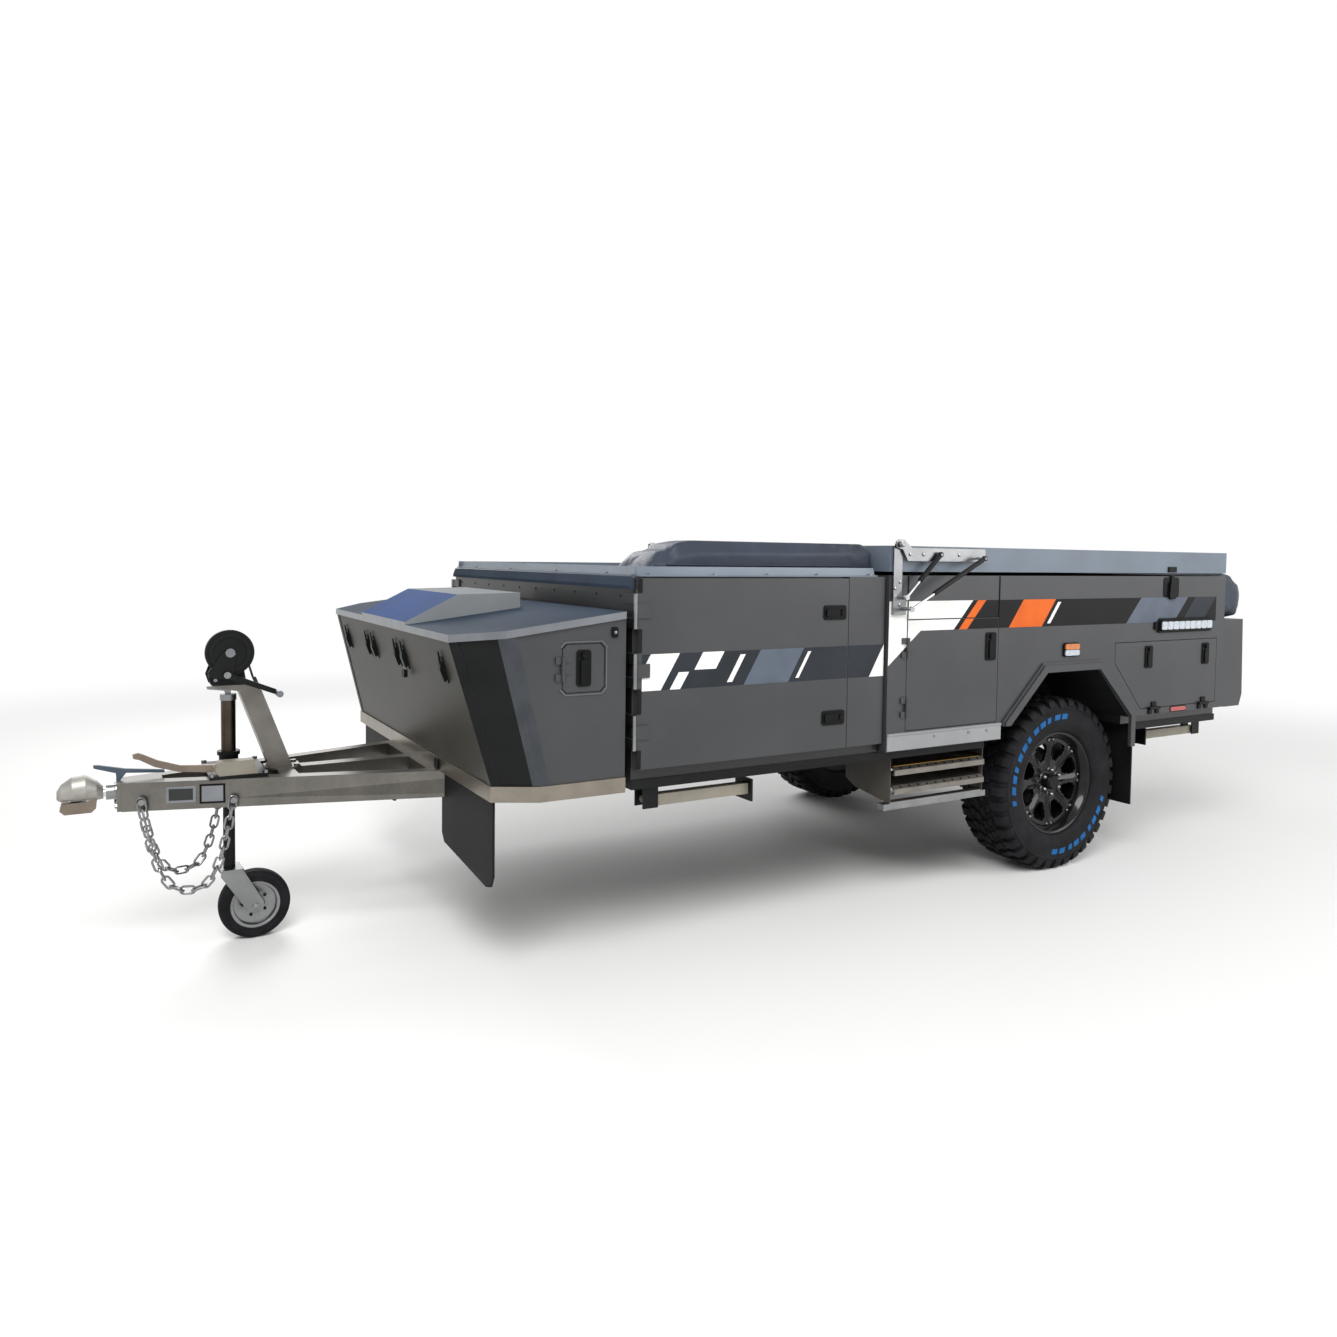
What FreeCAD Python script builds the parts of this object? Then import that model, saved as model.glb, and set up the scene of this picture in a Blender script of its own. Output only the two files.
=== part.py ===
import FreeCAD, Part
import os
from math import atan2, cos, degrees, radians, sin
from types import SimpleNamespace
from FreeCAD import Placement, Rotation, Vector
from Sketcher import Constraint

# Forward-fold hard-floor camper trailer, parked on its two road wheels and its jockey wheel.
# Millimetres, +X towards the coupling, +Y the kerb side with the entry door, +Z up, floor at Z = 0.
# Lengthwise stations are measured forward of the axle; axle_x brings the middle of the trailer to X = 0.

SIZES = [
    # Overall reach and stance
    ("front_reach", 3990, "axle to the tip of the coupling"),
    ("rear_reach", 1372, "axle to the back of the rear cover"),
    ("seam", 3, "gap round every door and hatch"),
    ("touch_gap", 0.3, "gap between curved or soft faces that meet"),
    ("swing_gap", 6, "room kept beside a part that swings"),
    # Road wheels
    ("tyre_r", 401.5, "road tyre radius over the lugs"),
    ("tyre_w", 265, "road tyre section width"),
    ("tread_depth", 14, "depth of the tread lugs"),
    ("rim_r", 233, "rim flange radius"),
    ("rim_well_r", 205, "inside radius of the rim barrel"),
    ("rim_w", 216, "rim width over the flanges"),
    ("rim_face", 40, "wheel face set back from the outer flange"),
    ("spoke_t", 24, "thickness of the wheel face"),
    ("track", 1550, "distance between the tyre middles"),
    ("hub_r", 62, "hub flange radius"),
    ("hub_bore_r", 36, "bore at the wheel centre"),
    ("stub_r", 30, "stub axle radius"),
    ("drum_r", 150, "brake drum radius"),
    ("drum_w", 70, "brake drum width"),
    # Chassis
    ("rail_w", 50, "width of the main rail section"),
    ("rail_h", 100, "height of the main rail section"),
    ("rail_top", 628, "top of the main rails above the floor"),
    ("rail_gap", 212.5, "main rail centre inside the inner side of the tyre"),
    ("rail_front", 2160, "front end of the main rails"),
    ("rail_back", 1120, "back end of the main rails behind the axle"),
    ("floor_z", 660, "underside of the body floors"),
    ("sill_y", 948, "outer face of the sill rails"),
    ("sill_w", 50, "width of the sill rails"),
    ("cross_w", 40, "width of a cross member"),
    # Drawbar
    ("bar_front", 3800, "front end of the drawbar rails"),
    ("bar_front_y", 28, "drawbar rail centre at the front"),
    ("bar_back", 2200, "back end of the drawbar rails"),
    ("bar_splay", 51, "drawbar rail centre outside the main rail centre at the back"),
    ("nose_l", 130, "length of the nose block between the drawbar rails"),
    ("spine_w", 60, "width of the centre beam between the drawbar rails"),
    ("spine_front", 3400, "front end of the centre beam"),
    ("bar_mid", 2740, "cross bar under the front of the box"),
    ("flap_gap", 2.586, "stone flap beside the outer side of the drawbar rail"),
    ("winch_foot", 3235, "cross bar under the winch post"),
    ("end_plate_t", 12, "thickness of the plate on the drawbar's front end"),
    ("collar_l", 32, "length of the coupling collar"),
    ("neck_r", 15.5, "radius of the neck that the coupling head rolls on"),
    ("roll_rise", 14, "coupling roll axis above the middle of the drawbar rails"),
    ("jaw_low", 62, "bottom of the lower jaw under the roll axis"),
    ("jaw_split", 24, "top of the lower jaw under the roll axis"),
    ("tow_pin_x", 3932, "middle of the socket for the tow pin"),
    ("tow_pin_r", 18, "radius of the socket for the tow pin"),
    # Front box
    ("box_back", 2318, "back of the front box"),
    ("box_base_z", 680, "bottom of the front box"),
    ("box_side_y", 959, "side face of the front box"),
    ("box_low_nose", 2766, "front face at the bottom"),
    ("box_low_nose_y", 884, "half width of the front face at the bottom"),
    ("box_low_cheek", 2626, "where the chamfer starts at the bottom"),
    ("box_high_z", 1240, "height of the upper outline of the box walls"),
    ("box_high_nose", 2914, "front face at the upper outline"),
    ("box_high_nose_y", 813, "half width of the front face at the upper outline"),
    ("box_high_cheek", 2761, "where the chamfer starts at the upper outline"),
    ("box_wall", 16, "wall of the front box"),
    ("lid_slope_back_z", 1222, "top of the box walls at the back"),
    ("lid_slope_front_z", 1143, "top of the box walls at the front"),
    ("box_lid_t", 26, "thickness of the box lid"),
    ("strip_w", 30, "width of the corner strips on the front box"),
    ("strip_t", 3, "thickness of the corner strips on the front box"),
    ("box_lid_lip", 10, "overhang of the box lid"),
    ("scoop_y", 330, "half width of the raised middle of the box lid"),
    ("scoop_rise", 42, "height of the raised middle at the back"),
    ("scoop_ridge", 2700, "ridge where the raised middle starts to fall"),
    ("scoop_back", 2450, "back end of the raised middle"),
    ("lid_pin_x", 2308, "box lid hinge"),
    ("lid_pin_z", 1232, "height of the box lid hinge"),
    ("hatch_x", 2476, "middle of the box side hatch"),
    ("hatch_z", 1060, "middle height of the box side hatch"),
    ("hatch_w", 150, "width of the box side hatch"),
    ("hatch_h", 158, "height of the box side hatch"),
    # Front body
    ("front_nose", 2285, "front face of the front body"),
    ("front_tail", 1166, "back face of the front body"),
    ("front_y", 968, "side face of the front body"),
    ("front_top", 1364, "roof of the front body"),
    ("body_wall", 20, "wall of the bodies behind the doors"),
    ("door_t", 25, "thickness of the doors"),
    ("door_low", 700, "bottom of the front doors"),
    ("door_front", 2279, "front edge of the front doors"),
    ("door_back", 1352, "back edge of the front doors"),
    ("frame_lip", 26, "door frame that shows round an opening"),
    ("door_hinge_low", 830, "height of the lower front door hinge"),
    ("door_hinge_mid", 1041, "height of the middle front door hinge"),
    ("door_hinge_high", 1246, "height of the upper front door hinge"),
    ("door_hinge_l", 120, "length of a front door hinge"),
    ("door_latch_low", 822, "height of the lower front door latch"),
    ("door_latch_high", 1227, "height of the upper front door latch"),
    ("latch_out", 14, "how far a flush latch stands out"),
    ("hood_out", 14, "how far the folded roof edge stands ahead of the front face"),
    ("hood_h", 44, "depth of the folded roof edge"),
    ("lid_latch_x", 670, "latch of the main lid behind the axle"),
    ("hinge_r", 7, "radius of the hinge knuckles"),
    ("hinge_pin_r", 3, "radius of the hinge pins"),
    ("hinge_l", 80, "length of a hinge"),
    ("hinge_out", 8, "hinge pin outside the panel face"),
    ("hinge_plate", 3.5, "thickness of the hinge plates"),
    ("top_rail_h", 34, "height of the angle along the roof edge"),
    ("top_rail_t", 6, "thickness of the angle along the roof edge"),
    # Rear body
    ("rear_nose", 1158, "front face of the rear body"),
    ("rear_tail", 1127, "back face of the rear body behind the axle"),
    ("rear_y", 983, "side face of the rear body"),
    ("rear_top", 1370, "top of the rear body walls"),
    ("skirt_low", 665, "bottom of the skirt under the entry door"),
    ("skirt_end", 502, "back end of the skirt"),
    ("quarter_low", 700, "bottom of the side panel behind the wheel"),
    ("arch_front", 497, "front foot of the arch flare"),
    ("arch_front_z", 742, "height of the front foot of the flare"),
    ("arch_rise_x", 247, "front top corner of the flare"),
    ("arch_top", 983, "top of the flare"),
    ("arch_fall_x", 156, "back top corner of the flare behind the axle"),
    ("arch_back", 416, "back foot of the flare behind the axle"),
    ("arch_back_z", 700, "height of the back foot of the flare"),
    ("flare_w", 42, "width of the flare"),
    ("flare_t", 16, "how far the flare stands out"),
    ("well_gap", 32.5, "room between the tyre and the inner wall of the wheel wells"),
    ("well_t", 14, "wall of the wheel wells"),
    ("entry_front", 1056, "front edge of the entry door"),
    ("entry_back", 533, "back edge of the entry door"),
    ("entry_low", 745, "bottom of the entry door"),
    ("entry_high", 1192, "top of the entry door"),
    ("rear_hatch_front", 260, "front edge of the rear hatch behind the axle"),
    ("rear_hatch_cut", 462, "end of the clipped corner behind the axle"),
    ("rear_hatch_back", 1066, "back edge of the rear hatch behind the axle"),
    ("rear_hatch_low", 734, "bottom of the rear hatch"),
    ("rear_hatch_cut_z", 962, "height of the clipped corner"),
    ("rear_hatch_high", 1055, "top of the rear hatch"),
    # Main lid
    ("lid_low", 1385, "underside of the main lid"),
    ("lid_high", 1488, "top of the main lid"),
    ("lid_t", 24, "wall of the main lid"),
    ("pivot_x", 1125, "main lid pivot"),
    ("pivot_z", 1493, "height of the main lid pivot"),
    ("post_y", 989, "inner face of the hinge posts"),
    ("post_t", 6, "thickness of the hinge posts"),
    ("post_w", 44, "width of the hinge posts"),
    ("post_low", 1272, "bottom of the hinge posts"),
    ("arm_y", 1001, "inner face of the lid arms"),
    ("arm_t", 6, "thickness of the lid arms"),
    ("arm_back", 650, "back end of the lid arms"),
    ("arm_low", 1428, "bottom edge of the lid arms"),
    ("arm_high", 1480, "top edge of the lid arms"),
    ("pin_r", 8, "pivot pin radius"),
    # Lift struts
    ("strut_y", 1020, "centre of the short lift struts"),
    ("strut_step", 27, "how far the long lift struts stand outside the short ones"),
    ("strut_r", 10, "lift strut tube radius"),
    ("strut_rod_r", 5, "lift strut rod radius"),
    ("strut_eye_r", 11, "lift strut eye radius"),
    ("strut_a_top_x", 921, "upper eye of the short strut"),
    ("strut_a_top_z", 1455, "height of the upper eye of the short strut"),
    ("strut_a_low_x", 1100, "lower eye of the short strut"),
    ("strut_a_low_z", 1284, "height of the lower eye of the short strut"),
    ("strut_b_top_x", 698, "upper eye of the long strut"),
    ("strut_b_top_z", 1442, "height of the upper eye of the long strut"),
    ("strut_b_low_x", 1098, "lower eye of the long strut"),
    ("strut_b_low_z", 1238, "height of the lower eye of the long strut"),
    ("strut_a_share", 0.62, "tube share of the short strut"),
    ("strut_b_share", 0.7, "tube share of the long strut"),
    # Soft covers
    ("cover_front", 2236, "front foot of the front cover"),
    ("cover_crest", 2040, "front crest of the front cover"),
    ("cover_y", 923, "outer side of the front cover"),
    ("cover_in", 650, "inner side of the front cover"),
    ("cover_top", 1486, "top of the front cover"),
    ("rear_cover_low", 1152, "bottom of the rear cover"),
    ("rear_cover_high", 1404, "top of the rear cover"),
    # Rear box
    ("rear_box_back", 1352, "back of the rear box behind the axle"),
    ("rear_box_y", 950, "side face of the rear box"),
    ("rear_box_low", 690, "bottom of the rear box"),
    ("rear_box_high", 1146, "top of the rear box"),
    ("rear_box_belly", 14, "how far the rear box bulges near the bottom"),
    # Jockey wheel
    ("jockey_x", 3452, "jockey stem ahead of the axle"),
    ("jockey_tube_r", 25, "jockey outer tube radius"),
    ("jockey_bore_r", 21, "jockey outer tube bore"),
    ("jockey_stem_r", 20.5, "jockey stem radius"),
    ("jockey_tube_low", 520, "bottom of the jockey outer tube"),
    ("jockey_tube_high", 890, "top of the jockey outer tube"),
    ("jockey_stem_low", 272, "bottom of the jockey stem"),
    ("jockey_stem_high", 640, "top of the jockey stem"),
    ("jockey_r", 125, "jockey tyre radius"),
    ("jockey_w", 72, "jockey tyre width"),
    ("jockey_rim_r", 86, "jockey rim radius"),
    ("jockey_trail", 85, "jockey axle behind the stem"),
    ("fork_t", 6, "jockey fork plate thickness"),
    ("fork_gap", 7, "room between fork and tyre"),
    ("jockey_pin_r", 9, "jockey axle radius"),
    # Winch
    ("winch_x", 3452, "winch drum centre"),
    ("winch_z", 1068, "height of the winch drum"),
    ("winch_drum_r", 82, "winch gear cover radius"),
    # Steps
    ("step_front", 1060, "front side plate of the step box"),
    ("step_back", 520, "back side plate of the step box"),
    ("step_y", 905, "outer edge of the step box"),
    ("step_in", 630, "inner edge of the step box"),
    ("step_low", 430, "bottom of the step box"),
    # Legs
    ("leg_l", 430, "length of a stabiliser leg"),
    ("leg_s", 40, "side of a stabiliser leg tube"),
    ("leg_foot", 130, "width of a leg foot"),
    # Safety chains
    ("chain_wire", 8, "bar thickness of the chain links"),
    ("chain_links", 21, "links in a safety chain"),
    ("chain_pin_r", 5.5, "radius of the pins that hold the chains"),
]


class Size:
    """A number kept together with the sheet formula that gives it."""

    def __init__(self, value, formula):
        self.value = value
        self.formula = formula

    def __add__(self, other):
        other = size_of(other)
        return Size(self.value + other.value, f"({self.formula} + {other.formula})")

    def __sub__(self, other):
        other = size_of(other)
        return Size(self.value - other.value, f"({self.formula} - {other.formula})")

    def __mul__(self, other):
        other = size_of(other)
        return Size(self.value * other.value, f"({self.formula} * {other.formula})")

    def __truediv__(self, other):
        other = size_of(other)
        return Size(self.value / other.value, f"({self.formula} / {other.formula})")

    def __neg__(self):
        return Size(-self.value, f"(-1 * {self.formula})")

    __radd__ = __add__
    __rmul__ = __mul__

    def __rsub__(self, other):
        return size_of(other) - self


def size_of(number):
    """A plain number as a Size, so that both can be mixed in one sum."""
    return number if isinstance(number, Size) else Size(number, repr(number))


def root_of(a, b):
    """Length of the long side over two square sides."""
    a, b = size_of(a), size_of(b)
    return Size((a.value ** 2 + b.value ** 2) ** 0.5, f"sqrt({a.formula} ^ 2 + {b.formula} ^ 2)")


doc = FreeCAD.newDocument("camper_trailer")
sheet = doc.addObject("Spreadsheet::Sheet", "sizes")
sheet.Label = "driving dimensions"
for row, (alias, number, remark) in enumerate(SIZES, start=1):
    sheet.set(f"A{row}", alias)
    sheet.set(f"B{row}", str(number))
    sheet.set(f"C{row}", remark)
    sheet.setAlias(f"B{row}", alias)
doc.recompute()

dim = SimpleNamespace(**{alias: Size(number, f"sizes.{alias}") for alias, number, _ in SIZES})
dim.axle_x = (dim.rear_reach - dim.front_reach) / 2
dim.axle_z = dim.tyre_r
dim.roll_z = dim.rail_top - dim.rail_h / 2 + dim.roll_rise
dim.half_tread = dim.tyre_w / 2
dim.tyre_in_y = dim.track / 2 - dim.half_tread
dim.rail_y = dim.tyre_in_y - dim.rail_gap
dim.bar_back_y = dim.rail_y + dim.bar_splay
dim.well_y = dim.tyre_in_y - dim.well_gap
dim.front_wall_y = dim.front_y - dim.door_t - dim.body_wall
dim.rear_wall_y = dim.rear_y - dim.door_t - dim.body_wall

CHAIN_WIDTH = 4.25  # outer width of a link over its bar thickness
SAG = 3  # power of the curve that a chain hangs in: the higher, the rounder its bottom
parts = {}


def place(obj, x=0, y=0, z=0):
    """Bind where an object stands; a Size follows the sheet."""
    for axis, spot in zip("xyz", (x, y, z)):
        obj.setExpression(f"Placement.Base.{axis}", size_of(spot).formula)
    return obj


def keep(label, obj):
    """Name an object as one finished sub-part of the trailer."""
    obj.Label = label
    parts[label] = obj
    return obj


def body_named(name):
    return doc.addObject("PartDesign::Body", name)


def origin_plane(body, role):
    return next(f for f in body.Origin.OriginFeatures if f.Role == role)


def sketch_on(body, role, offset=0):
    sketch = body.newObject("Sketcher::SketchObject", "outline")
    sketch.AttachmentSupport = (origin_plane(body, role), [""])
    sketch.MapMode = "FlatFace"
    sketch.setExpression("AttachmentOffset.Base.z", size_of(offset).formula)
    return sketch


def hold(sketch, kind, edge, end, spot):
    """Fix one coordinate of a sketch point to a size."""
    spot = size_of(spot)
    if spot.formula == "0":
        axis = -2 if kind == "DistanceX" else -1
        sketch.addConstraint(Constraint("PointOnObject", edge, end, axis))
        return
    index = sketch.addConstraint(Constraint(kind, -1, 1, edge, end, spot.value))
    sketch.setExpression(f"Constraints[{index}]", spot.formula)


def add_loop(sketch, points):
    """Closed outline of straight edges through the points."""
    first = sketch.GeometryCount
    corners = [Vector(size_of(u).value, size_of(v).value, 0) for u, v in points]
    for start, end in zip(corners, corners[1:] + corners[:1]):
        sketch.addGeometry(Part.LineSegment(start, end))
    for k in range(len(points)):
        nxt = first + (k + 1) % len(points)
        sketch.addConstraint(Constraint("Coincident", first + k, 2, nxt, 1))
    for k, (u, v) in enumerate(points):
        hold(sketch, "DistanceX", first + k, 1, u)
        hold(sketch, "DistanceY", first + k, 1, v)


def add_ring(sketch, u, v, radius):
    """Circle at (u, v)."""
    centre = Vector(size_of(u).value, size_of(v).value, 0)
    edge = sketch.addGeometry(Part.Circle(centre, Vector(0, 0, 1), size_of(radius).value))
    hold(sketch, "DistanceX", edge, 3, u)
    hold(sketch, "DistanceY", edge, 3, v)
    index = sketch.addConstraint(Constraint("Radius", edge, size_of(radius).value))
    sketch.setExpression(f"Constraints[{index}]", size_of(radius).formula)


def feature(body, kind, sketch, length, flip=False):
    step = body.newObject(kind, "step")
    step.Profile = sketch
    step.setExpression("Length", size_of(length).formula)
    step.Reversed = flip
    body.Tip = step
    return step


def pad(body, role, start, end, loops=(), rings=()):
    """Solid between two distances along the normal of an origin plane."""
    sketch = sketch_on(body, role, start)
    for loop in loops:
        add_loop(sketch, loop)
    for ring in rings:
        add_ring(sketch, *ring)
    return feature(body, "PartDesign::Pad", sketch, size_of(end) - start)


def cut(body, role, start, end, loops=(), rings=()):
    """Pocket between two distances along the normal of an origin plane."""
    sketch = sketch_on(body, role, end)
    for loop in loops:
        add_loop(sketch, loop)
    for ring in rings:
        add_ring(sketch, *ring)
    return feature(body, "PartDesign::Pocket", sketch, size_of(end) - start)


def loft(body, kind, low, high):
    """Straight-sided loft between two outlines, each given as (height, points)."""
    sketches = []
    for height, points in (low, high):
        sketch = sketch_on(body, "XY_Plane", height)
        add_loop(sketch, points)
        sketches.append(sketch)
    step = body.newObject(kind, "step")
    step.Profile = sketches[0]
    step.Sections = [sketches[1]]
    step.Ruled = True
    body.Tip = step
    return step


def swell(body, rings):
    """Cast form through circles that stand across X, each given as (station, height, radius)."""
    sketches = []
    for x, z, radius in rings:
        sketch = sketch_on(body, "YZ_Plane", x)
        add_ring(sketch, 0, z, radius)
        sketches.append(sketch)
    step = body.newObject("PartDesign::AdditiveLoft", "step")
    step.Profile = sketches[0]
    step.Sections = sketches[1:]
    step.Ruled = True
    body.Tip = step
    return step


def turn(body, loops, kind="PartDesign::Revolution"):
    """Solid of revolution about the Y axis; points are (radius, distance along Y)."""
    sketch = sketch_on(body, "XY_Plane")
    for loop in loops:
        add_loop(sketch, loop)
    step = body.newObject(kind, "step")
    step.Profile = sketch
    step.ReferenceAxis = (sketch, ["V_Axis"])
    step.Angle = 360
    body.Tip = step
    return step


def rect(u0, u1, v0, v1):
    return [(u0, v0), (u1, v0), (u1, v1), (u0, v1)]


def clipped(u0, u1, v0, v1, c):
    """Rectangle with its corners cut off."""
    u0, u1, v0, v1 = size_of(u0), size_of(u1), size_of(v0), size_of(v1)
    return [(u0 + c, v0), (u1 - c, v0), (u1, v0 + c), (u1, v1 - c), (u1 - c, v1), (u0 + c, v1), (u0, v1 - c),
            (u0, v0 + c)]


def turned(points, degrees):
    """The same outline turned about the origin of its sketch."""
    c, s = cos(radians(degrees)), sin(radians(degrees))
    return [(size_of(u) * c - size_of(v) * s, size_of(u) * s + size_of(v) * c) for u, v in points]


def slab(name, x, y, z):
    """Rectangular block between pairs of stations, heights and side distances."""
    block = doc.addObject("Part::Box", name)
    for prop, (low, high) in zip(("Length", "Width", "Height"), (x, y, z)):
        block.setExpression(prop, (size_of(high) - low).formula)
    return place(block, dim.axle_x + x[0], y[0], z[0])


def rod(name, radius, start, end):
    """Round bar along X, Y or Z between two points that differ in one coordinate."""
    bar = doc.addObject("Part::Cylinder", name)
    axis = next(k for k in range(3) if size_of(start[k]).value != size_of(end[k]).value)
    bar.setExpression("Radius", size_of(radius).formula)
    bar.setExpression("Height", (size_of(end[axis]) - start[axis]).formula)
    place(bar, dim.axle_x + start[0], start[1], start[2])
    bar.Placement.Rotation = (Rotation(Vector(0, 1, 0), 90), Rotation(Vector(1, 0, 0), -90), Rotation())[axis]
    return bar


def fused(name, pieces):
    union = doc.addObject("Part::MultiFuse", name)
    union.Shapes = pieces
    return union


def less(name, base, tool):
    rest = doc.addObject("Part::Cut", name)
    rest.Base = base
    rest.Tool = tool
    return rest


def far_side(name, near):
    """The same piece on the other side of the trailer."""
    twin = doc.addObject("Part::Mirroring", name)
    twin.Source = near
    twin.Normal = Vector(0, 1, 0)
    return twin


def both_sides(name, near):
    """One sub-part made of a kerb-side piece and its far-side twin."""
    pair = doc.addObject("Part::Compound", name)
    pair.Links = [near, far_side(name + "_twin", near)]
    return pair


def station(body):
    """Stand a body whose outlines use stations ahead of the axle."""
    return place(body, dim.axle_x)


def hinge_fixed(body, role, middle, pin, plate, length=dim.hinge_l):
    """Pin and the two outer knuckles of a hinge, with the plate that carries them."""
    d = dim
    half, share = length / 2, length / 5
    pad(body, role, middle - half, middle + half, rings=[(*pin, d.hinge_pin_r)])
    for start, end in ((middle - half, middle - share - d.touch_gap), (middle + share + d.touch_gap,
                                                                       middle + half)):
        pad(body, role, start, end, rings=[(*pin, d.hinge_r)])
        pad(body, role, start, end, [plate])


def side_plate(back, front, face, side):
    """Plan of a hinge plate that lies on a side face."""
    sign = size_of(side)
    return rect(back, front, face - sign * 0.5, face + sign * (dim.hinge_plate + 3))


def hinge_moving(body, role, middle, pin, plate, length=dim.hinge_l):
    """Middle knuckle of a hinge, bored for its pin, with the plate that carries it."""
    d = dim
    share = length / 5
    pad(body, role, middle - share, middle + share, rings=[(*pin, d.hinge_r),
                                                           (*pin, d.hinge_pin_r + d.touch_gap)])
    pad(body, role, middle - share, middle + share, [plate])


def flush_latch(body, face, back, front, low, high):
    """Flush latch on a side face: a plate with a raised paddle and the barrel of its lock."""
    d = dim
    mid = (low + high) / 2
    pad(body, "XZ_Plane", -(face + 5), -(face - 1), [clipped(back, front, low, high, 7)])
    wide = size_of(front - back).value > size_of(high - low).value
    if wide:
        paddle = clipped(back + 34, front - 8, mid - 16, mid + 16, 6)
        lock = (back + 19, mid, 12)
    else:
        half = (front - back) / 2
        paddle = clipped(back + half - 14, front - half + 14, low + 8, high - 32, 6)
        lock = (back + half, high - 17, 11)
    pad(body, "XZ_Plane", -(face + d.latch_out - 3), -(face + 4), [paddle])
    pad(body, "XZ_Plane", -(face + d.latch_out), -(face + 4), rings=[lock])


def chassis():
    """Two main rails, sill rails and the cross members that carry the bodies."""
    d = dim
    rail_low = d.rail_top - d.rail_h
    pieces = []
    for side in (1, -1):
        inner = size_of(side) * d.rail_y - d.rail_w / 2
        pieces.append(slab("main_rail", (-d.rail_back, d.rail_front), (inner, inner + d.rail_w),
                           (rail_low, d.rail_top)))
        edge = d.sill_y - d.sill_w if side == 1 else -d.sill_y
        pieces.append(slab("sill", (d.skirt_end + 60, d.front_nose), (edge, edge + d.sill_w),
                           (d.rail_top, d.floor_z)))
        pieces.append(slab("rear_sill", (-d.rear_tail, -d.arch_back - 60), (edge, edge + d.sill_w),
                           (d.rail_top, d.floor_z)))
    for mid in (d.front_nose - 60, (d.front_nose + d.front_tail) / 2, d.front_tail + 20, d.skirt_end + 80,
                -d.arch_back - 80, -d.rear_tail + 30):
        pieces.append(slab("cross_member", (mid - d.cross_w / 2, mid + d.cross_w / 2), (-d.sill_y, d.sill_y),
                           (d.rail_top, d.floor_z)))
    pieces.append(slab("front_beam", (d.rail_front, d.bar_back), (-d.bar_back_y - d.rail_w / 2,
                                                                  d.bar_back_y + d.rail_w / 2),
                       (rail_low, d.rail_top)))
    keep("chassis_frame", fused("chassis_frame", pieces))


def rail_line(x):
    """Distance of a drawbar rail's centre from the middle of the trailer at a station."""
    d = dim
    return d.bar_front_y + (d.bar_back_y - d.bar_front_y) * (d.bar_front - x) / (d.bar_front - d.bar_back)


def drawbar():
    """A-frame of two converging rails with a nose block and a centre beam."""
    d = dim
    body = station(body_named("drawbar"))
    half = d.rail_w / 2
    pad(body, "XY_Plane", d.rail_top - d.rail_h, d.rail_top, [[
        (d.bar_front, d.bar_front_y + half), (d.bar_back, d.bar_back_y + half),
        (d.bar_back, d.bar_back_y - half), (d.bar_front - d.nose_l, d.bar_front_y - half / 2 + 14),
        (d.bar_front - d.nose_l, -d.bar_front_y + half / 2 - 14), (d.bar_back, -d.bar_back_y + half),
        (d.bar_back, -d.bar_back_y - half), (d.bar_front, -d.bar_front_y - half)]])
    pad(body, "XY_Plane", d.rail_top - d.rail_h, d.rail_top,
        [rect(d.bar_back, d.spine_front, -d.spine_w / 2, d.spine_w / 2)])
    for x in (d.bar_mid, d.winch_foot):
        reach = rail_line(x + d.spine_w / 2)
        pad(body, "XY_Plane", d.rail_top - d.rail_h / 2, d.rail_top, [rect(x, x + d.spine_w, -reach, reach)])
    for side in (1, -1):
        for pin in chain_pins(side):
            ends = sorted((-side * (abs(pin.y) - 34), -side * (abs(pin.y) + 12)))
            pad(body, "XZ_Plane", ends[0], ends[1], rings=[(pin.x, pin.z, d.chain_pin_r)])
            ends = sorted((-side * (abs(pin.y) + 11), -side * (abs(pin.y) + 17)))
            pad(body, "XZ_Plane", ends[0], ends[1], rings=[(pin.x, pin.z, d.chain_pin_r + 5)])
    keep("drawbar", body)


def base_rail():
    """Square tube that frames the bottom of the front box."""
    d = dim
    body = station(body_named("box_rail"))
    lip = 6
    pad(body, "XY_Plane", d.rail_top, d.box_base_z, [
        box_outline(d.box_back, d.box_low_cheek + lip, d.box_low_nose + lip, d.box_side_y + lip,
                    d.box_low_nose_y + lip),
        box_outline(d.box_back + d.rail_w, d.box_low_cheek - d.rail_w, d.box_low_nose - d.rail_w,
                    d.box_side_y - d.rail_w, d.box_low_nose_y - d.rail_w / 2)])
    keep("box_rail", body)


def box_outline(back, cheek, nose, side, nose_side):
    """Boat-shaped plan of the front box: square tail, chamfered nose."""
    return [(back, -side), (cheek, -side), (nose, -nose_side), (nose, nose_side), (cheek, side), (back, side)]


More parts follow.
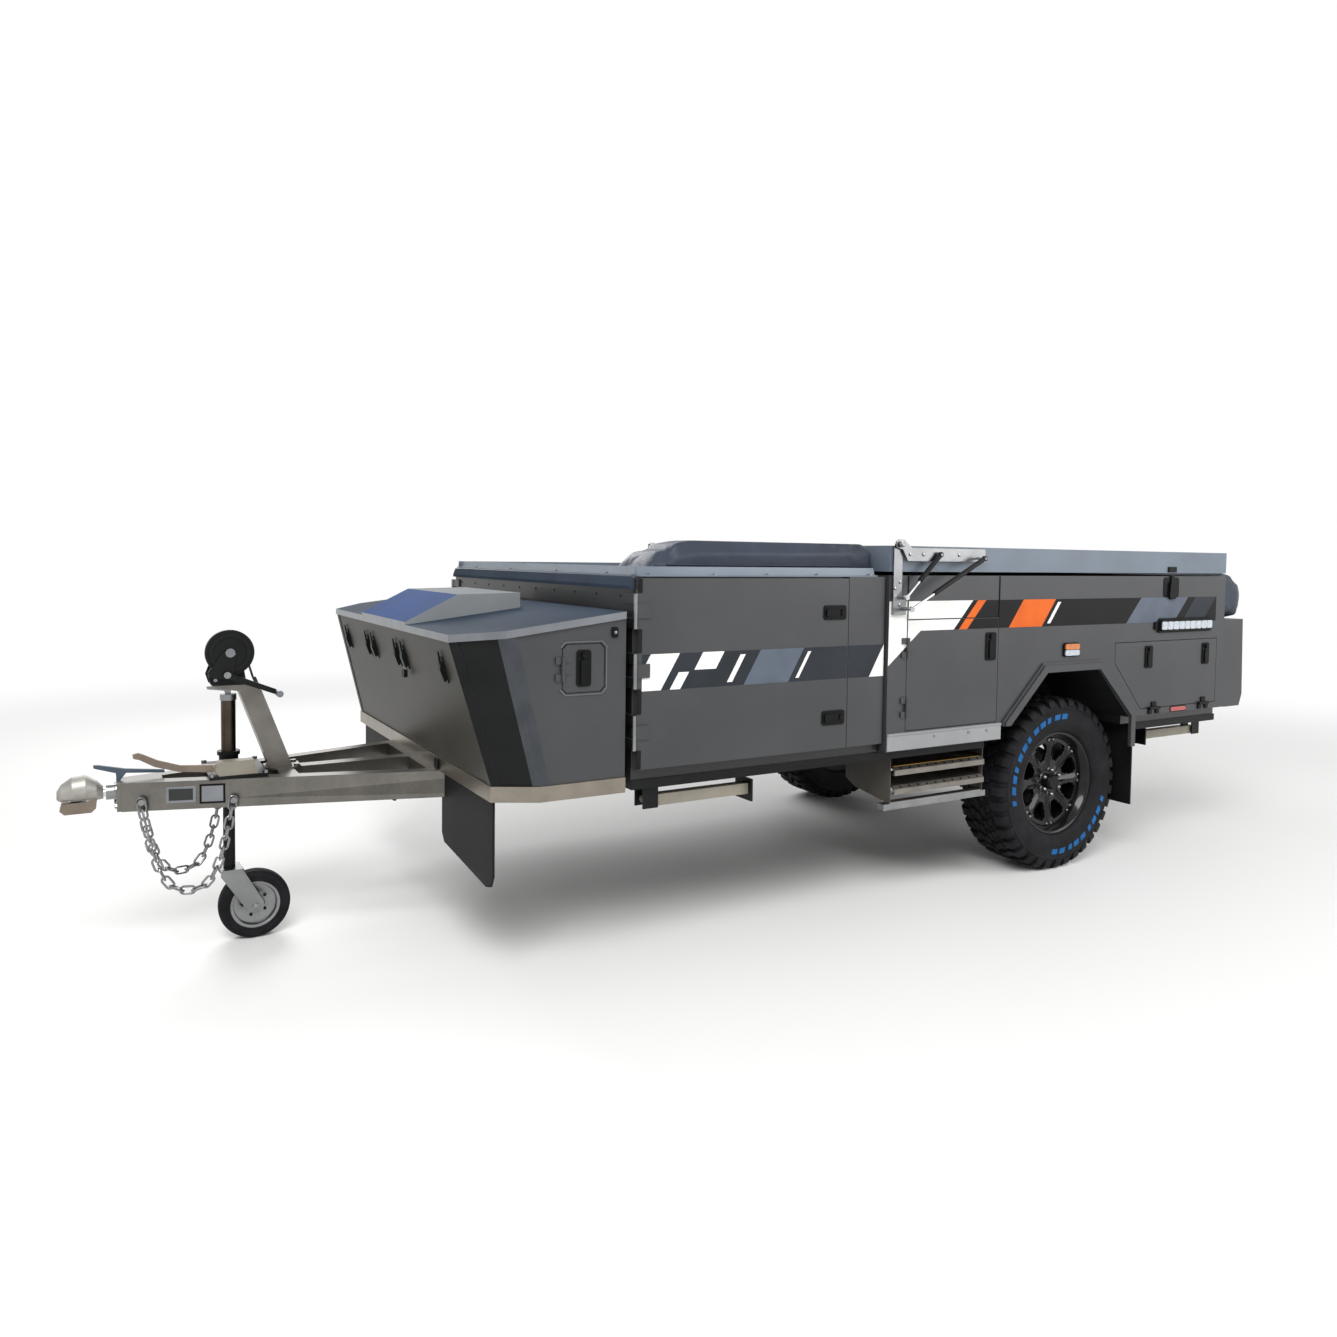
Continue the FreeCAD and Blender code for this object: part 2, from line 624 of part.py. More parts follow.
def hitch():
    """Off-road coupling: a collar on the drawbar and a cast head that rolls in it."""
    d = dim
    body = station(body_named("coupling_socket"))
    front = d.bar_front + d.end_plate_t
    mouth = front + d.collar_l
    half = d.bar_front_y + d.rail_w / 2 + 1
    top = d.rail_top + 4
    pad(body, "YZ_Plane", d.bar_front, front, [clipped(-half, half, d.rail_top - d.rail_h, top, 8)])
    pad(body, "YZ_Plane", front - 1, mouth, rings=[(0, d.roll_z, d.neck_r + 11.5)])
    cut(body, "YZ_Plane", front - 7, mouth + 1, rings=[(0, d.roll_z, d.neck_r + 0.5)])
    pad(body, "XZ_Plane", -7, 7, [[
        (front - 11, top - 4), (front - 2, top - 12), (front + 2, top + 24), (front + 68, top + 46),
        (front + 70, top + 56), (front + 56, top + 56), (front - 30, top + 36), (front - 150, top + 22),
        (front - 150, top + 12), (front - 30, top + 22)]])
    keep("coupling_socket", body)
    head = place(body_named("coupling_head"), d.axle_x, 0, d.roll_z)
    root = mouth + 8
    tip = d.front_reach
    pad(head, "YZ_Plane", front - 6, root + 10, rings=[(0, 0, d.neck_r)])
    swell(head, [(root, 0, 22), (root + 20, 10, 34), (root + 53, 21, 45), (root + 93, 19, 43),
                 (tip - 12, 8, 30),
                 (tip, 2, 14)])
    jaw = d.jaw_low
    pad(head, "XZ_Plane", -25, 25, [[
        (root + 18, -8), (root + 22, 14 - jaw), (root + 36, -jaw), (tip - 22, -jaw), (tip - 8, 14 - jaw),
        (tip - 14, -d.jaw_split), (tip - 40, -d.jaw_split + 12)]])
    cut(head, "XY_Plane", -d.jaw_split, -d.jaw_split + 7, [rect(root + 52, tip + 1, -60, 60)])
    cut(head, "XZ_Plane", -60, 60, [[(root + 34, 20), (root + 74, 22), (root + 86, 34), (root + 72, 44),
                                     (root + 44, 42)]])
    cut(head, "XY_Plane", -jaw - 1, -d.jaw_split + 1, rings=[(d.tow_pin_x, 0, d.tow_pin_r)])
    keep("coupling_head", head)


def handbrake():
    """Handbrake: a bracket box on the clamp plate and the long curved lever."""
    d = dim
    body = station(body_named("handbrake"))
    base = d.rail_top + 12
    pad(body, "XZ_Plane", -148, -100, [[
        (3372, base), (3500, base), (3512, base + 22), (3500, base + 50), (3384, base + 50)]])
    pad(body, "XZ_Plane", -120, -106, [[
        (3460, base + 14), (3520, base + 12), (3625, base + 24), (3700, base + 48), (3745, base + 76),
        (3764, base + 82), (3766, base + 96), (3748, base + 100), (3734, base + 94), (3690, base + 70),
        (3620, base + 46), (3520, base + 38), (3460, base + 42)]])
    keep("handbrake", body)


def jockey():
    """Jockey wheel: clamped tube, screw-down stem, castor fork, tyre and rim."""
    d = dim
    tube = place(body_named("jockey_tube"), d.axle_x + d.jockey_x)
    pad(tube, "XY_Plane", d.jockey_tube_low, d.jockey_tube_high,
        rings=[(0, 0, d.jockey_tube_r), (0, 0, d.jockey_bore_r)])
    cap = d.jockey_tube_high + 22
    pad(tube, "XY_Plane", d.jockey_tube_high, cap, rings=[(0, 0, d.jockey_tube_r + 3)])
    pad(tube, "XZ_Plane", -5, 5, [[(-9, cap - 1), (9, cap - 1), (14, cap + 12), (70, cap + 20),
                                   (72, cap + 30),
                                   (8, cap + 30), (-9, cap + 20)]])
    pad(tube, "XY_Plane", d.rail_top, d.rail_top + 12,
        loops=[rect(-115, 78, -150, 150)], rings=[(0, 0, d.jockey_tube_r - 1)])
    for low, high, wall in ((12, 30, 14), (30, 62, 8), (62, 76, 14)):
        pad(tube, "XY_Plane", d.rail_top + low, d.rail_top + high,
            rings=[(0, 0, d.jockey_tube_r + wall), (0, 0, d.jockey_tube_r - 1)])
    keep("jockey_tube", tube)
    stem = place(body_named("jockey_stem"), d.axle_x + d.jockey_x)
    pad(stem, "XY_Plane", d.jockey_stem_low, d.jockey_stem_high, rings=[(0, 0, d.jockey_stem_r)])
    keep("jockey_stem", stem)
    fork = place(body_named("jockey_fork"), d.axle_x + d.jockey_x)
    half_gap = d.jockey_w / 2 + d.fork_gap
    outer = half_gap + d.fork_t
    crown = d.jockey_stem_low - d.touch_gap
    plate = [(-34, crown), (30, crown), (34, crown - 22), (-d.jockey_trail + 24, d.jockey_r - 20),
             (-d.jockey_trail - 24, d.jockey_r - 20), (-d.jockey_trail - 26, d.jockey_r + 14),
             (-46, crown - 14)]
    for inner in (half_gap, -outer):
        pad(fork, "XZ_Plane", -(inner + d.fork_t), -inner, [plate])
    pad(fork, "XY_Plane", crown - d.fork_t, crown, [rect(-40, 32, -outer, outer)])
    fork_pin = rod("jockey_axle", d.jockey_pin_r, (d.jockey_x - d.jockey_trail, -half_gap, d.jockey_r),
                   (d.jockey_x - d.jockey_trail, half_gap, d.jockey_r))
    keep("jockey_fork", fused("jockey_fork_set", [fork, fork_pin]))
    rim = place(body_named("jockey_rim"), d.axle_x + d.jockey_x - d.jockey_trail, 0, d.jockey_r)
    half = d.jockey_w / 2
    turn(rim, [[(d.jockey_pin_r + d.touch_gap, -half + 2), (30, -half + 2), (30, -8),
                (d.jockey_rim_r - 10, -8),
                (d.jockey_rim_r - 10, -half + 6), (d.jockey_rim_r, -half + 6), (d.jockey_rim_r, half - 6),
                (d.jockey_rim_r - 10, half - 6), (d.jockey_rim_r - 10, 8), (30, 8), (30, half - 2),
                (d.jockey_pin_r + d.touch_gap, half - 2)]])
    keep("jockey_rim", rim)
    tyre = place(body_named("jockey_tyre"), d.axle_x + d.jockey_x - d.jockey_trail, 0, d.jockey_r)
    turn(tyre, [[(d.jockey_rim_r, -half + 4), (d.jockey_r - 16, -half), (d.jockey_r - 3, -half + 12),
                 (d.jockey_r, -half + 24), (d.jockey_r, half - 24), (d.jockey_r - 3, half - 12),
                 (d.jockey_r - 16, half), (d.jockey_rim_r, half - 4)]])
    keep("jockey_tyre", tyre)


def winch():
    """Folded sheet post on the centre beam with the hand winch on top."""
    d = dim
    post = station(body_named("winch_post"))
    top = d.rail_top
    deck = 948
    x, z = d.winch_x, d.winch_z
    side = [(3237, top + 6), (3316, top + 6), (x - 32, deck - 23), (x + 48, deck - 9), (x + 48, deck),
            (x - 58, deck), (x - 108, deck - 23)]
    for inner in (-46, 40):
        pad(post, "XZ_Plane", inner, inner + 6, [side])
    pad(post, "XZ_Plane", -41, 41, [[(3316, top + 6), (x - 32, deck - 23), (x - 40, deck - 19),
                                     (3308, top + 6)]])
    pad(post, "XY_Plane", top, top + 7, [clipped(3205, 3330, -62, 62, 24)])
    for u, v in ((3222, 40), (3222, -40)):
        pad(post, "XY_Plane", top + 6, top + 14, rings=[(u, v, 11)])
    keep("winch_post", post)
    body = station(body_named("winch"))
    frame = [(x - 58, deck), (x + 62, deck + 4), (x + 72, deck + 37), (x + 30, z + 34), (x - 34, z + 30)]
    for inner in (-46, 40):
        pad(body, "XZ_Plane", inner, inner + 6, [frame])
    pad(body, "XY_Plane", deck + 0.5, deck + 7, [rect(x - 56, x + 58, -46, 46)])
    pad(body, "XZ_Plane", -45, 45, rings=[(x, z - 12, 56)])
    pad(body, "XZ_Plane", -66, -46, rings=[(x, z, d.winch_drum_r)])
    pad(body, "XZ_Plane", -72, -60, rings=[(x, z, d.winch_drum_r - 12), (x, z, d.winch_drum_r - 26)])
    pad(body, "XZ_Plane", -78, -64, rings=[(x, z, 16)])
    shaft_x, shaft_z = x + 12, deck + 42
    pad(body, "XZ_Plane", -76, -64, [[(x - 20, z - 4), (x + 22, z + 6), (x + 74, deck + 52),
                                      (x + 70, deck + 34),
                                      (x - 6, deck + 22)]])
    pad(body, "XZ_Plane", -96, 44, rings=[(shaft_x, shaft_z, 12)])
    pad(body, "XZ_Plane", -94, -84, [[
        (shaft_x + 4, shaft_z + 12), (shaft_x - 172, shaft_z - 62), (shaft_x - 168, shaft_z - 80),
        (shaft_x + 12, shaft_z - 8)]])
    pad(body, "XZ_Plane", -150, -86, rings=[(shaft_x - 168, shaft_z - 70, 12)])
    keep("winch", body)
    strap = station(body_named("winch_strap"))
    edge = x - 56.4
    pad(strap, "XZ_Plane", -22, 22, [[(edge, z - 10), (edge - 26, 968), (edge - 30, 968),
                                      (edge - 4, z - 10)]])
    pad(strap, "XZ_Plane", -5, 5, [[(edge - 24, 970), (edge - 38, 970), (edge - 54, 930), (edge - 46, 892),
                                    (edge - 38, 892), (edge - 42, 926)]])
    keep("winch_strap", strap)


def chain_point(share, front, low, back):
    """Point of a hanging chain, through its two ends and its lowest point."""
    x = front[0] + (back[0] - front[0]) * share
    fall = (x - low[0]) / ((front[0] if x > low[0] else back[0]) - low[0])
    top = front[1] if x > low[0] else back[1]
    return Vector(x, 0, low[1] + (top - low[1]) * abs(fall) ** SAG)


def chain_line(front, low, back, count):
    """Ends of the links along a hanging chain, all the same distance apart."""
    fine = [chain_point(k / 2000, front, low, back) for k in range(2001)]
    reach = sum((b - a).Length for a, b in zip(fine, fine[1:])) / count
    spots = [fine[0]]
    gone = 0
    for a, b in zip(fine, fine[1:]):
        gone += (b - a).Length
        if gone >= reach * len(spots) and len(spots) < count:
            spots.append(b)
    return spots + [fine[-1]]


def chain_spots(side):
    """Where the links of the chain on one side meet, beside the slanting drawbar rail."""
    slope = ((dim.bar_back_y - dim.bar_front_y) / (dim.bar_front - dim.bar_back)).value
    off = dim.bar_front_y.value + dim.rail_w.value / 2 + CHAIN_WIDTH * dim.chain_wire.value / 2 + 2
    spots = chain_line((3742, 572), (3596, 246), (3456, 566), int(dim.chain_links.value))
    return [Vector(p.x, side * (off + slope * (dim.bar_front.value - p.x)), p.z) for p in spots]


def chain_pins(side):
    """Station, height and side distance of the pins through the first and the last link."""
    spots = chain_spots(side)
    pins = []
    for end, inner in ((spots[0], spots[1]), (spots[-1], spots[-2])):
        pins.append(end + (inner - end).normalize() * (dim.chain_pin_r.value + 1))
    return pins


def link_shape(length, width, wire):
    """One chain link: a long ring with cropped corners, lying along X."""
    def ring(grow):
        half_l, half_w = length / 2 + grow, width / 2 + grow
        crop = half_w * 0.5
        ends = [(half_l, half_w - crop), (half_l - crop, half_w), (-half_l + crop, half_w),
                (-half_l, half_w - crop),
                (-half_l, crop - half_w), (crop - half_l, -half_w), (half_l - crop, -half_w),
                (half_l, crop - half_w)]
        return Part.Face(Part.makePolygon([Vector(u, v, -wire / 2) for u, v in ends + ends[:1]]))
    return ring(0).cut(ring(-wire)).extrude(Vector(0, 0, wire))


def chains():
    """Two safety chains that hang in loops beside the jockey wheel."""
    wire = dim.chain_wire.value
    links = []
    for side in (1, -1):
        spots = chain_spots(side)
        pitch = (spots[1] - spots[0]).Length
        link = link_shape(pitch + 2 * wire + 3.4, CHAIN_WIDTH * wire, wire)
        for k, (start, end) in enumerate(zip(spots, spots[1:])):
            copy = link.copy()
            spin = Rotation(Vector(1, 0, 0), 0 if k % 2 else 90)
            aim = Rotation(Vector(1, 0, 0), end - start)
            flat = aim.inverted().multVec(Vector(0, 1, 0))
            level = Rotation(Vector(1, 0, 0), degrees(atan2(flat.z, flat.y)))
            copy.Placement = Placement((start + end) / 2 + Vector(dim.axle_x.value, 0, 0), aim * level * spin)
            links.append(copy)
    piece = doc.addObject("Part::Feature", "safety_chains")
    piece.Shape = Part.makeCompound(links)
    keep("safety_chains", piece)


def nose_strip(nose, cheek, nose_y):
    """Section of the strip folded round the corner between the front face and the chamfer."""
    d = dim
    share = d.strip_w / 190
    run_x, run_y = (cheek - nose) * share, (d.box_side_y - nose_y) * share
    lean = d.strip_t * 0.7
    return [(nose - 2, nose_y - d.strip_w), (nose + d.strip_t, nose_y - d.strip_w),
            (nose + d.strip_t, nose_y + d.strip_t * 0.4), (nose + run_x + lean, nose_y + run_y + lean),
            (nose + run_x - 2, nose_y + run_y - 2), (nose - 2, nose_y - 1)]


def cheek_strip(nose, cheek, nose_y):
    """Section of the strip folded round the corner between the chamfer and the side."""
    d = dim
    share = d.strip_w / 190
    run_x, run_y = (nose - cheek) * share, (nose_y - d.box_side_y) * share
    lean = d.strip_t * 0.7
    return [(cheek - d.strip_w, d.box_side_y - 2), (cheek - d.strip_w, d.box_side_y + d.strip_t),
            (cheek + d.strip_t * 0.4, d.box_side_y + d.strip_t), (cheek + run_x + lean,
                                                                  d.box_side_y + run_y + lean),
            (cheek + run_x - 2, d.box_side_y + run_y - 2), (cheek - 1, d.box_side_y - 2)]


def front_box():
    """Boat-shaped front box, its sloping lid and the two side hatches."""
    d = dim
    base = d.box_base_z + d.touch_gap
    body = station(body_named("box_shell"))
    low = box_outline(d.box_back, d.box_low_cheek, d.box_low_nose, d.box_side_y, d.box_low_nose_y)
    high = box_outline(d.box_back, d.box_high_cheek, d.box_high_nose, d.box_side_y, d.box_high_nose_y)
    loft(body, "PartDesign::AdditiveLoft", (base, low), (d.box_high_z, high))
    for share in (0, 1):
        strips = []
        for z, nose, cheek, nose_y in ((base, d.box_low_nose, d.box_low_cheek, d.box_low_nose_y),
                                       (d.box_high_z, d.box_high_nose, d.box_high_cheek, d.box_high_nose_y)):
            strips.append((z, cheek_strip(nose, cheek, nose_y) if share else nose_strip(nose, cheek, nose_y)))
        loft(body, "PartDesign::AdditiveLoft", *strips)
        loft(body, "PartDesign::AdditiveLoft", *[(z, [(u, -v) for u, v in strip]) for z, strip in strips])
    w = d.box_wall
    low_in = box_outline(d.box_back + w, d.box_low_cheek - w / 2, d.box_low_nose - w, d.box_side_y - w,
                         d.box_low_nose_y - w / 2)
    high_in = box_outline(d.box_back + w, d.box_high_cheek - w / 2, d.box_high_nose - w, d.box_side_y - w,
                          d.box_high_nose_y - w / 2)
    loft(body, "PartDesign::SubtractiveLoft", (base + w, low_in), (d.box_high_z + 1, high_in))
    cut(body, "XZ_Plane", -1000, 1000, [[
        (d.box_back - 10, d.lid_slope_back_z), (d.box_high_nose + 10, d.lid_slope_front_z),
        (d.box_high_nose + 10, d.box_high_z + 20), (d.box_back - 10, d.box_high_z + 20)]])
    side = d.box_side_y + 1
    reach = d.hatch_w / 2 + d.seam
    rise = d.hatch_h / 2 + d.seam
    for start, end in ((-side, -(d.box_side_y - w / 2)), (d.box_side_y - w / 2, side)):
        cut(body, "XZ_Plane", start, end, [clipped(d.hatch_x - reach, d.hatch_x + reach, d.hatch_z - rise,
                                                   d.hatch_z + rise, 14)])
    cut(body, "XZ_Plane", -side, side, [clipped(d.hatch_x - reach + 14, d.hatch_x + reach - 14,
                                                d.hatch_z - rise + 14, d.hatch_z + rise - 14, 8)])
    for y in (-620, 0, 620):
        hinge_fixed(body, "XZ_Plane", size_of(y), (d.lid_pin_x, d.lid_pin_z), rect(
            d.lid_pin_x - 1, d.box_back + 1, d.lid_pin_z - 40, d.lid_pin_z - d.hinge_r + 1))
    for side in (1, -1):
        face = side * d.box_side_y
        pin = (d.hatch_x + d.hatch_w / 2 + d.seam / 2, face + side * d.hinge_out)
        hinge_fixed(body, "XY_Plane", d.hatch_z, pin, side_plate(
            pin[0] + d.hinge_r - 3, pin[0] + 26, face, side))
    keep("box_shell", body)
    hatch = station(body_named("box_hatch_near"))
    pad(hatch, "XZ_Plane", -d.box_side_y, -(d.box_side_y - w / 2 + 0.5), [clipped(
        d.hatch_x - d.hatch_w / 2, d.hatch_x + d.hatch_w / 2, d.hatch_z - d.hatch_h / 2,
        d.hatch_z + d.hatch_h / 2, 14)])
    flush_latch(hatch, d.box_side_y, d.hatch_x - 26, d.hatch_x + 26, d.hatch_z - 61, d.hatch_z + 61)
    pin = (d.hatch_x + d.hatch_w / 2 + d.seam / 2, d.box_side_y + d.hinge_out)
    hinge_moving(hatch, "XY_Plane", d.hatch_z, pin, side_plate(pin[0] - 26, pin[0] - d.hinge_r + 3,
                                                               d.box_side_y, 1))
    keep("box_hatch_near", hatch)
    keep("box_hatch_far", far_side("box_hatch_far", hatch))


def slope_at(d, x):
    """Height of the sloping top edge of the box walls at a station."""
    back, front = d.box_back - 10, d.box_high_nose + 10
    return d.lid_slope_back_z + (d.lid_slope_front_z - d.lid_slope_back_z) * (x - back) / (front - back)


def box_lid():
    """Box lid: a sloping plate with a folded edge and a level raised middle."""
    d = dim
    body = station(body_named("box_lid"))
    lip = d.box_lid_lip
    gap = d.touch_gap + 1
    low = d.lid_slope_front_z - 40
    plan = box_outline(d.box_back + 4, d.box_high_cheek - 8, d.box_high_nose - 18, d.box_side_y + lip,
                       d.box_high_nose_y + 20)
    pad(body, "XY_Plane", low, d.box_high_z + 60, [plan])
    back, front = d.box_back - 10, d.box_high_nose + 10
    cut(body, "XZ_Plane", -1000, 1000, [[
        (back, d.lid_slope_back_z + gap), (front, d.lid_slope_front_z + gap), (front, low - 5),
        (back, low - 5)]])
    for start, end in ((-1000, -d.scoop_y), (d.scoop_y, 1000)):
        cut(body, "XZ_Plane", start, end, [[
            (back, d.lid_slope_back_z + d.box_lid_t), (front, d.lid_slope_front_z + d.box_lid_t),
            (front, d.box_high_z + 70), (back, d.box_high_z + 70)]])
    cut(body, "XZ_Plane", -1000, 1000, [[
        (back, d.lid_slope_back_z + d.box_lid_t), (d.scoop_back, slope_at(d, d.scoop_back) + d.box_lid_t),
        (d.scoop_back, d.box_high_z + 70), (back, d.box_high_z + 70)]])
    crest = d.lid_slope_back_z + d.box_lid_t + d.scoop_rise
    cut(body, "XZ_Plane", -1000, 1000, [[
        (back, crest), (d.scoop_ridge, crest - 8), (front, d.lid_slope_front_z + d.box_lid_t),
        (front, d.box_high_z + 70), (back, d.box_high_z + 70)]])
    for y in (-620, 0, 620):
        hinge_moving(body, "XZ_Plane", size_of(y), (d.lid_pin_x, d.lid_pin_z), rect(
            d.lid_pin_x + d.hinge_r - 2, d.box_back + 6, d.lid_pin_z - 2, d.lid_pin_z + 4))
    keep("box_lid", body)


def box_face(d, z):
    """Station of the sloping front face of the box at a height."""
    return d.box_low_nose + (d.box_high_nose - d.box_low_nose) * (z - d.box_base_z) / (d.box_high_z - d.box_base_z)


def box_latches():
    """Over-centre latches on the front face of the front box: plate, lever and hook."""
    d = dim
    pieces = []
    for y in (-700, -330, -230, 120, 220, 690):
        latch = station(body_named("box_latch"))

        def face(z, out):
            return (box_face(d, size_of(z)) + out, size_of(z))

        for half, profile in (
                (19, [face(1000, d.touch_gap), face(1088, d.touch_gap), face(1088, 4), face(1000, 4)]),
                (13, [face(1012, 3), face(1076, 3), face(1070, 12), face(1044, 19), face(1006, 15),
                      face(1004, 10)]),
                (7, [face(1060, 8), face(1106, 5), face(1108, 10), face(1062, 15)]),
                (21, [face(1036, 3), face(1056, 3), face(1052, 14), face(1040, 14)])):
            pad(latch, "XZ_Plane", -(size_of(y) + half), -(size_of(y) - half), [profile])
        pieces.append(latch)
    latches = doc.addObject("Part::Compound", "box_latch_set")
    latches.Links = pieces
    keep("box_latches", latches)


def side_opening(body, face, wall, outline, hole):
    """Seat for a flush door, with the way through it, in both side walls."""
    for start, end in ((-(face + 1), -(face - dim.door_t)), (face - dim.door_t, face + 1)):
        cut(body, "XZ_Plane", start, end, [outline])
    cut(body, "XZ_Plane", -(face + 1), face + 1, [hole])


def front_body():
    """Hollow front body with a seat for a big door in each side."""
    d = dim
    body = station(body_named("front_body"))
    inset = d.sill_y - 8
    pad(body, "YZ_Plane", d.front_tail, d.front_nose, [[
        (-inset, d.floor_z), (inset, d.floor_z), (inset, d.door_low), (d.front_y, d.door_low),
        (d.front_y, d.front_top), (-d.front_y, d.front_top), (-d.front_y, d.door_low), (-inset, d.door_low)]])
    w = d.body_wall
    cut(body, "XZ_Plane", -d.front_wall_y, d.front_wall_y, [rect(
        d.front_tail + w, d.front_nose - w, d.floor_z + w, d.front_top - w)])
    lip = d.frame_lip
    side_opening(body, d.front_y, w,
                 rect(d.door_back - d.seam, d.front_nose + 1, d.door_low - 1, d.front_top + 1),
                 rect(d.door_back + lip, d.door_front - lip, d.door_low + lip + 10,
                      d.front_top - lip - w / 2))
    for side in (1, -1):
        for z in (d.door_hinge_low, d.door_hinge_mid, d.door_hinge_high):
            pin = (d.front_nose + d.hinge_out - 1, side * (d.front_y + d.hinge_out))
            inner, outer = side * (d.front_wall_y - 40), side * (d.front_y + d.hinge_out - d.hinge_r + 3)
            hinge_fixed(body, "XY_Plane", z, pin, rect(
                d.front_nose - 1, d.front_nose + d.hinge_out,
                *((inner, outer) if side > 0 else (outer, inner))), d.door_hinge_l)
    hood = d.front_y - 18
    pad(body, "XZ_Plane", -hood, hood, [[
        (d.front_nose - 1, d.front_top), (d.front_nose + 3, d.front_top - 2),
        (d.front_nose + d.hood_out, d.front_top - d.hood_h + 12), (d.front_nose + d.hood_out,
                                                                   d.front_top - d.hood_h),
        (d.front_nose - 1, d.front_top - d.hood_h)]])
    keep("front_body", body)
    door = station(body_named("front_door_near"))
    pad(door, "XZ_Plane", -d.front_y, -(d.front_y - d.door_t + 1),
        [rect(d.door_back, d.door_front, d.door_low, d.front_top - d.swing_gap)])
    for z in (d.door_latch_low, d.door_latch_high):
        flush_latch(door, d.front_y, d.door_back + 14, d.door_back + 122, z - 28, z + 28)
    pin = (d.front_nose + d.hinge_out - 1, d.front_y + d.hinge_out)
    for z in (d.door_hinge_low, d.door_hinge_mid, d.door_hinge_high):
        hinge_moving(door, "XY_Plane", z, pin, side_plate(pin[0] - 60, pin[0] - d.hinge_r + 3, d.front_y, 1),
                     d.door_hinge_l)
    keep("front_door_near", door)
    keep("front_door_far", far_side("front_door_far", door))
    rail = station(body_named("top_rail"))
    top = d.front_top
    t = d.top_rail_t
    pad(rail, "YZ_Plane", d.front_tail + 40, d.front_nose - 12, [[
        (d.front_y - 44, top), (d.front_y - 2, top), (d.front_y - 2, top + t), (d.front_y - 20, top + t),
        (d.front_y - 28, top + d.top_rail_h), (d.front_y - 28 - t, top + d.top_rail_h),
        (d.front_y - 28 - t, top + t), (d.front_y - 44, top + t)]])
    bow = station(body_named("front_rail"))
    edge = d.front_nose - 2
    reach = d.front_y - 46
    pad(bow, "XZ_Plane", -reach, reach, [[
        (edge - 42, top), (edge, top), (edge, top + t), (edge - 18, top + t), (edge - 26, top + d.top_rail_h),
        (edge - 26 - t, top + d.top_rail_h), (edge - 26 - t, top + t), (edge - 42, top + t)]])
    rails = doc.addObject("Part::Compound", "top_rail_set")
    rails.Links = [both_sides("top_rail_pair", rail), bow]
    keep("top_rails", rails)


def rear_side(d):
    """Side outline of the rear body, with the wheel opening in it."""
    f = d.flare_w
    return [(d.rear_nose, d.rear_top), (d.rear_nose, d.skirt_low), (d.skirt_end, d.skirt_low),
            (d.skirt_end, d.arch_front_z - 20), (d.arch_front - f, d.arch_front_z - 20),
            (d.arch_rise_x - f / 2, d.arch_top - f),
            (-d.arch_fall_x + f / 2, d.arch_top - f), (-d.arch_back + f, d.arch_back_z),
            (-d.rear_tail, d.quarter_low), (-d.rear_tail, d.rear_top)]


def rear_hatch_pin(d):
    """Side distance and height of the rear hatch hinge."""
    return d.rear_y + d.hinge_out, d.rear_hatch_low - d.seam / 2


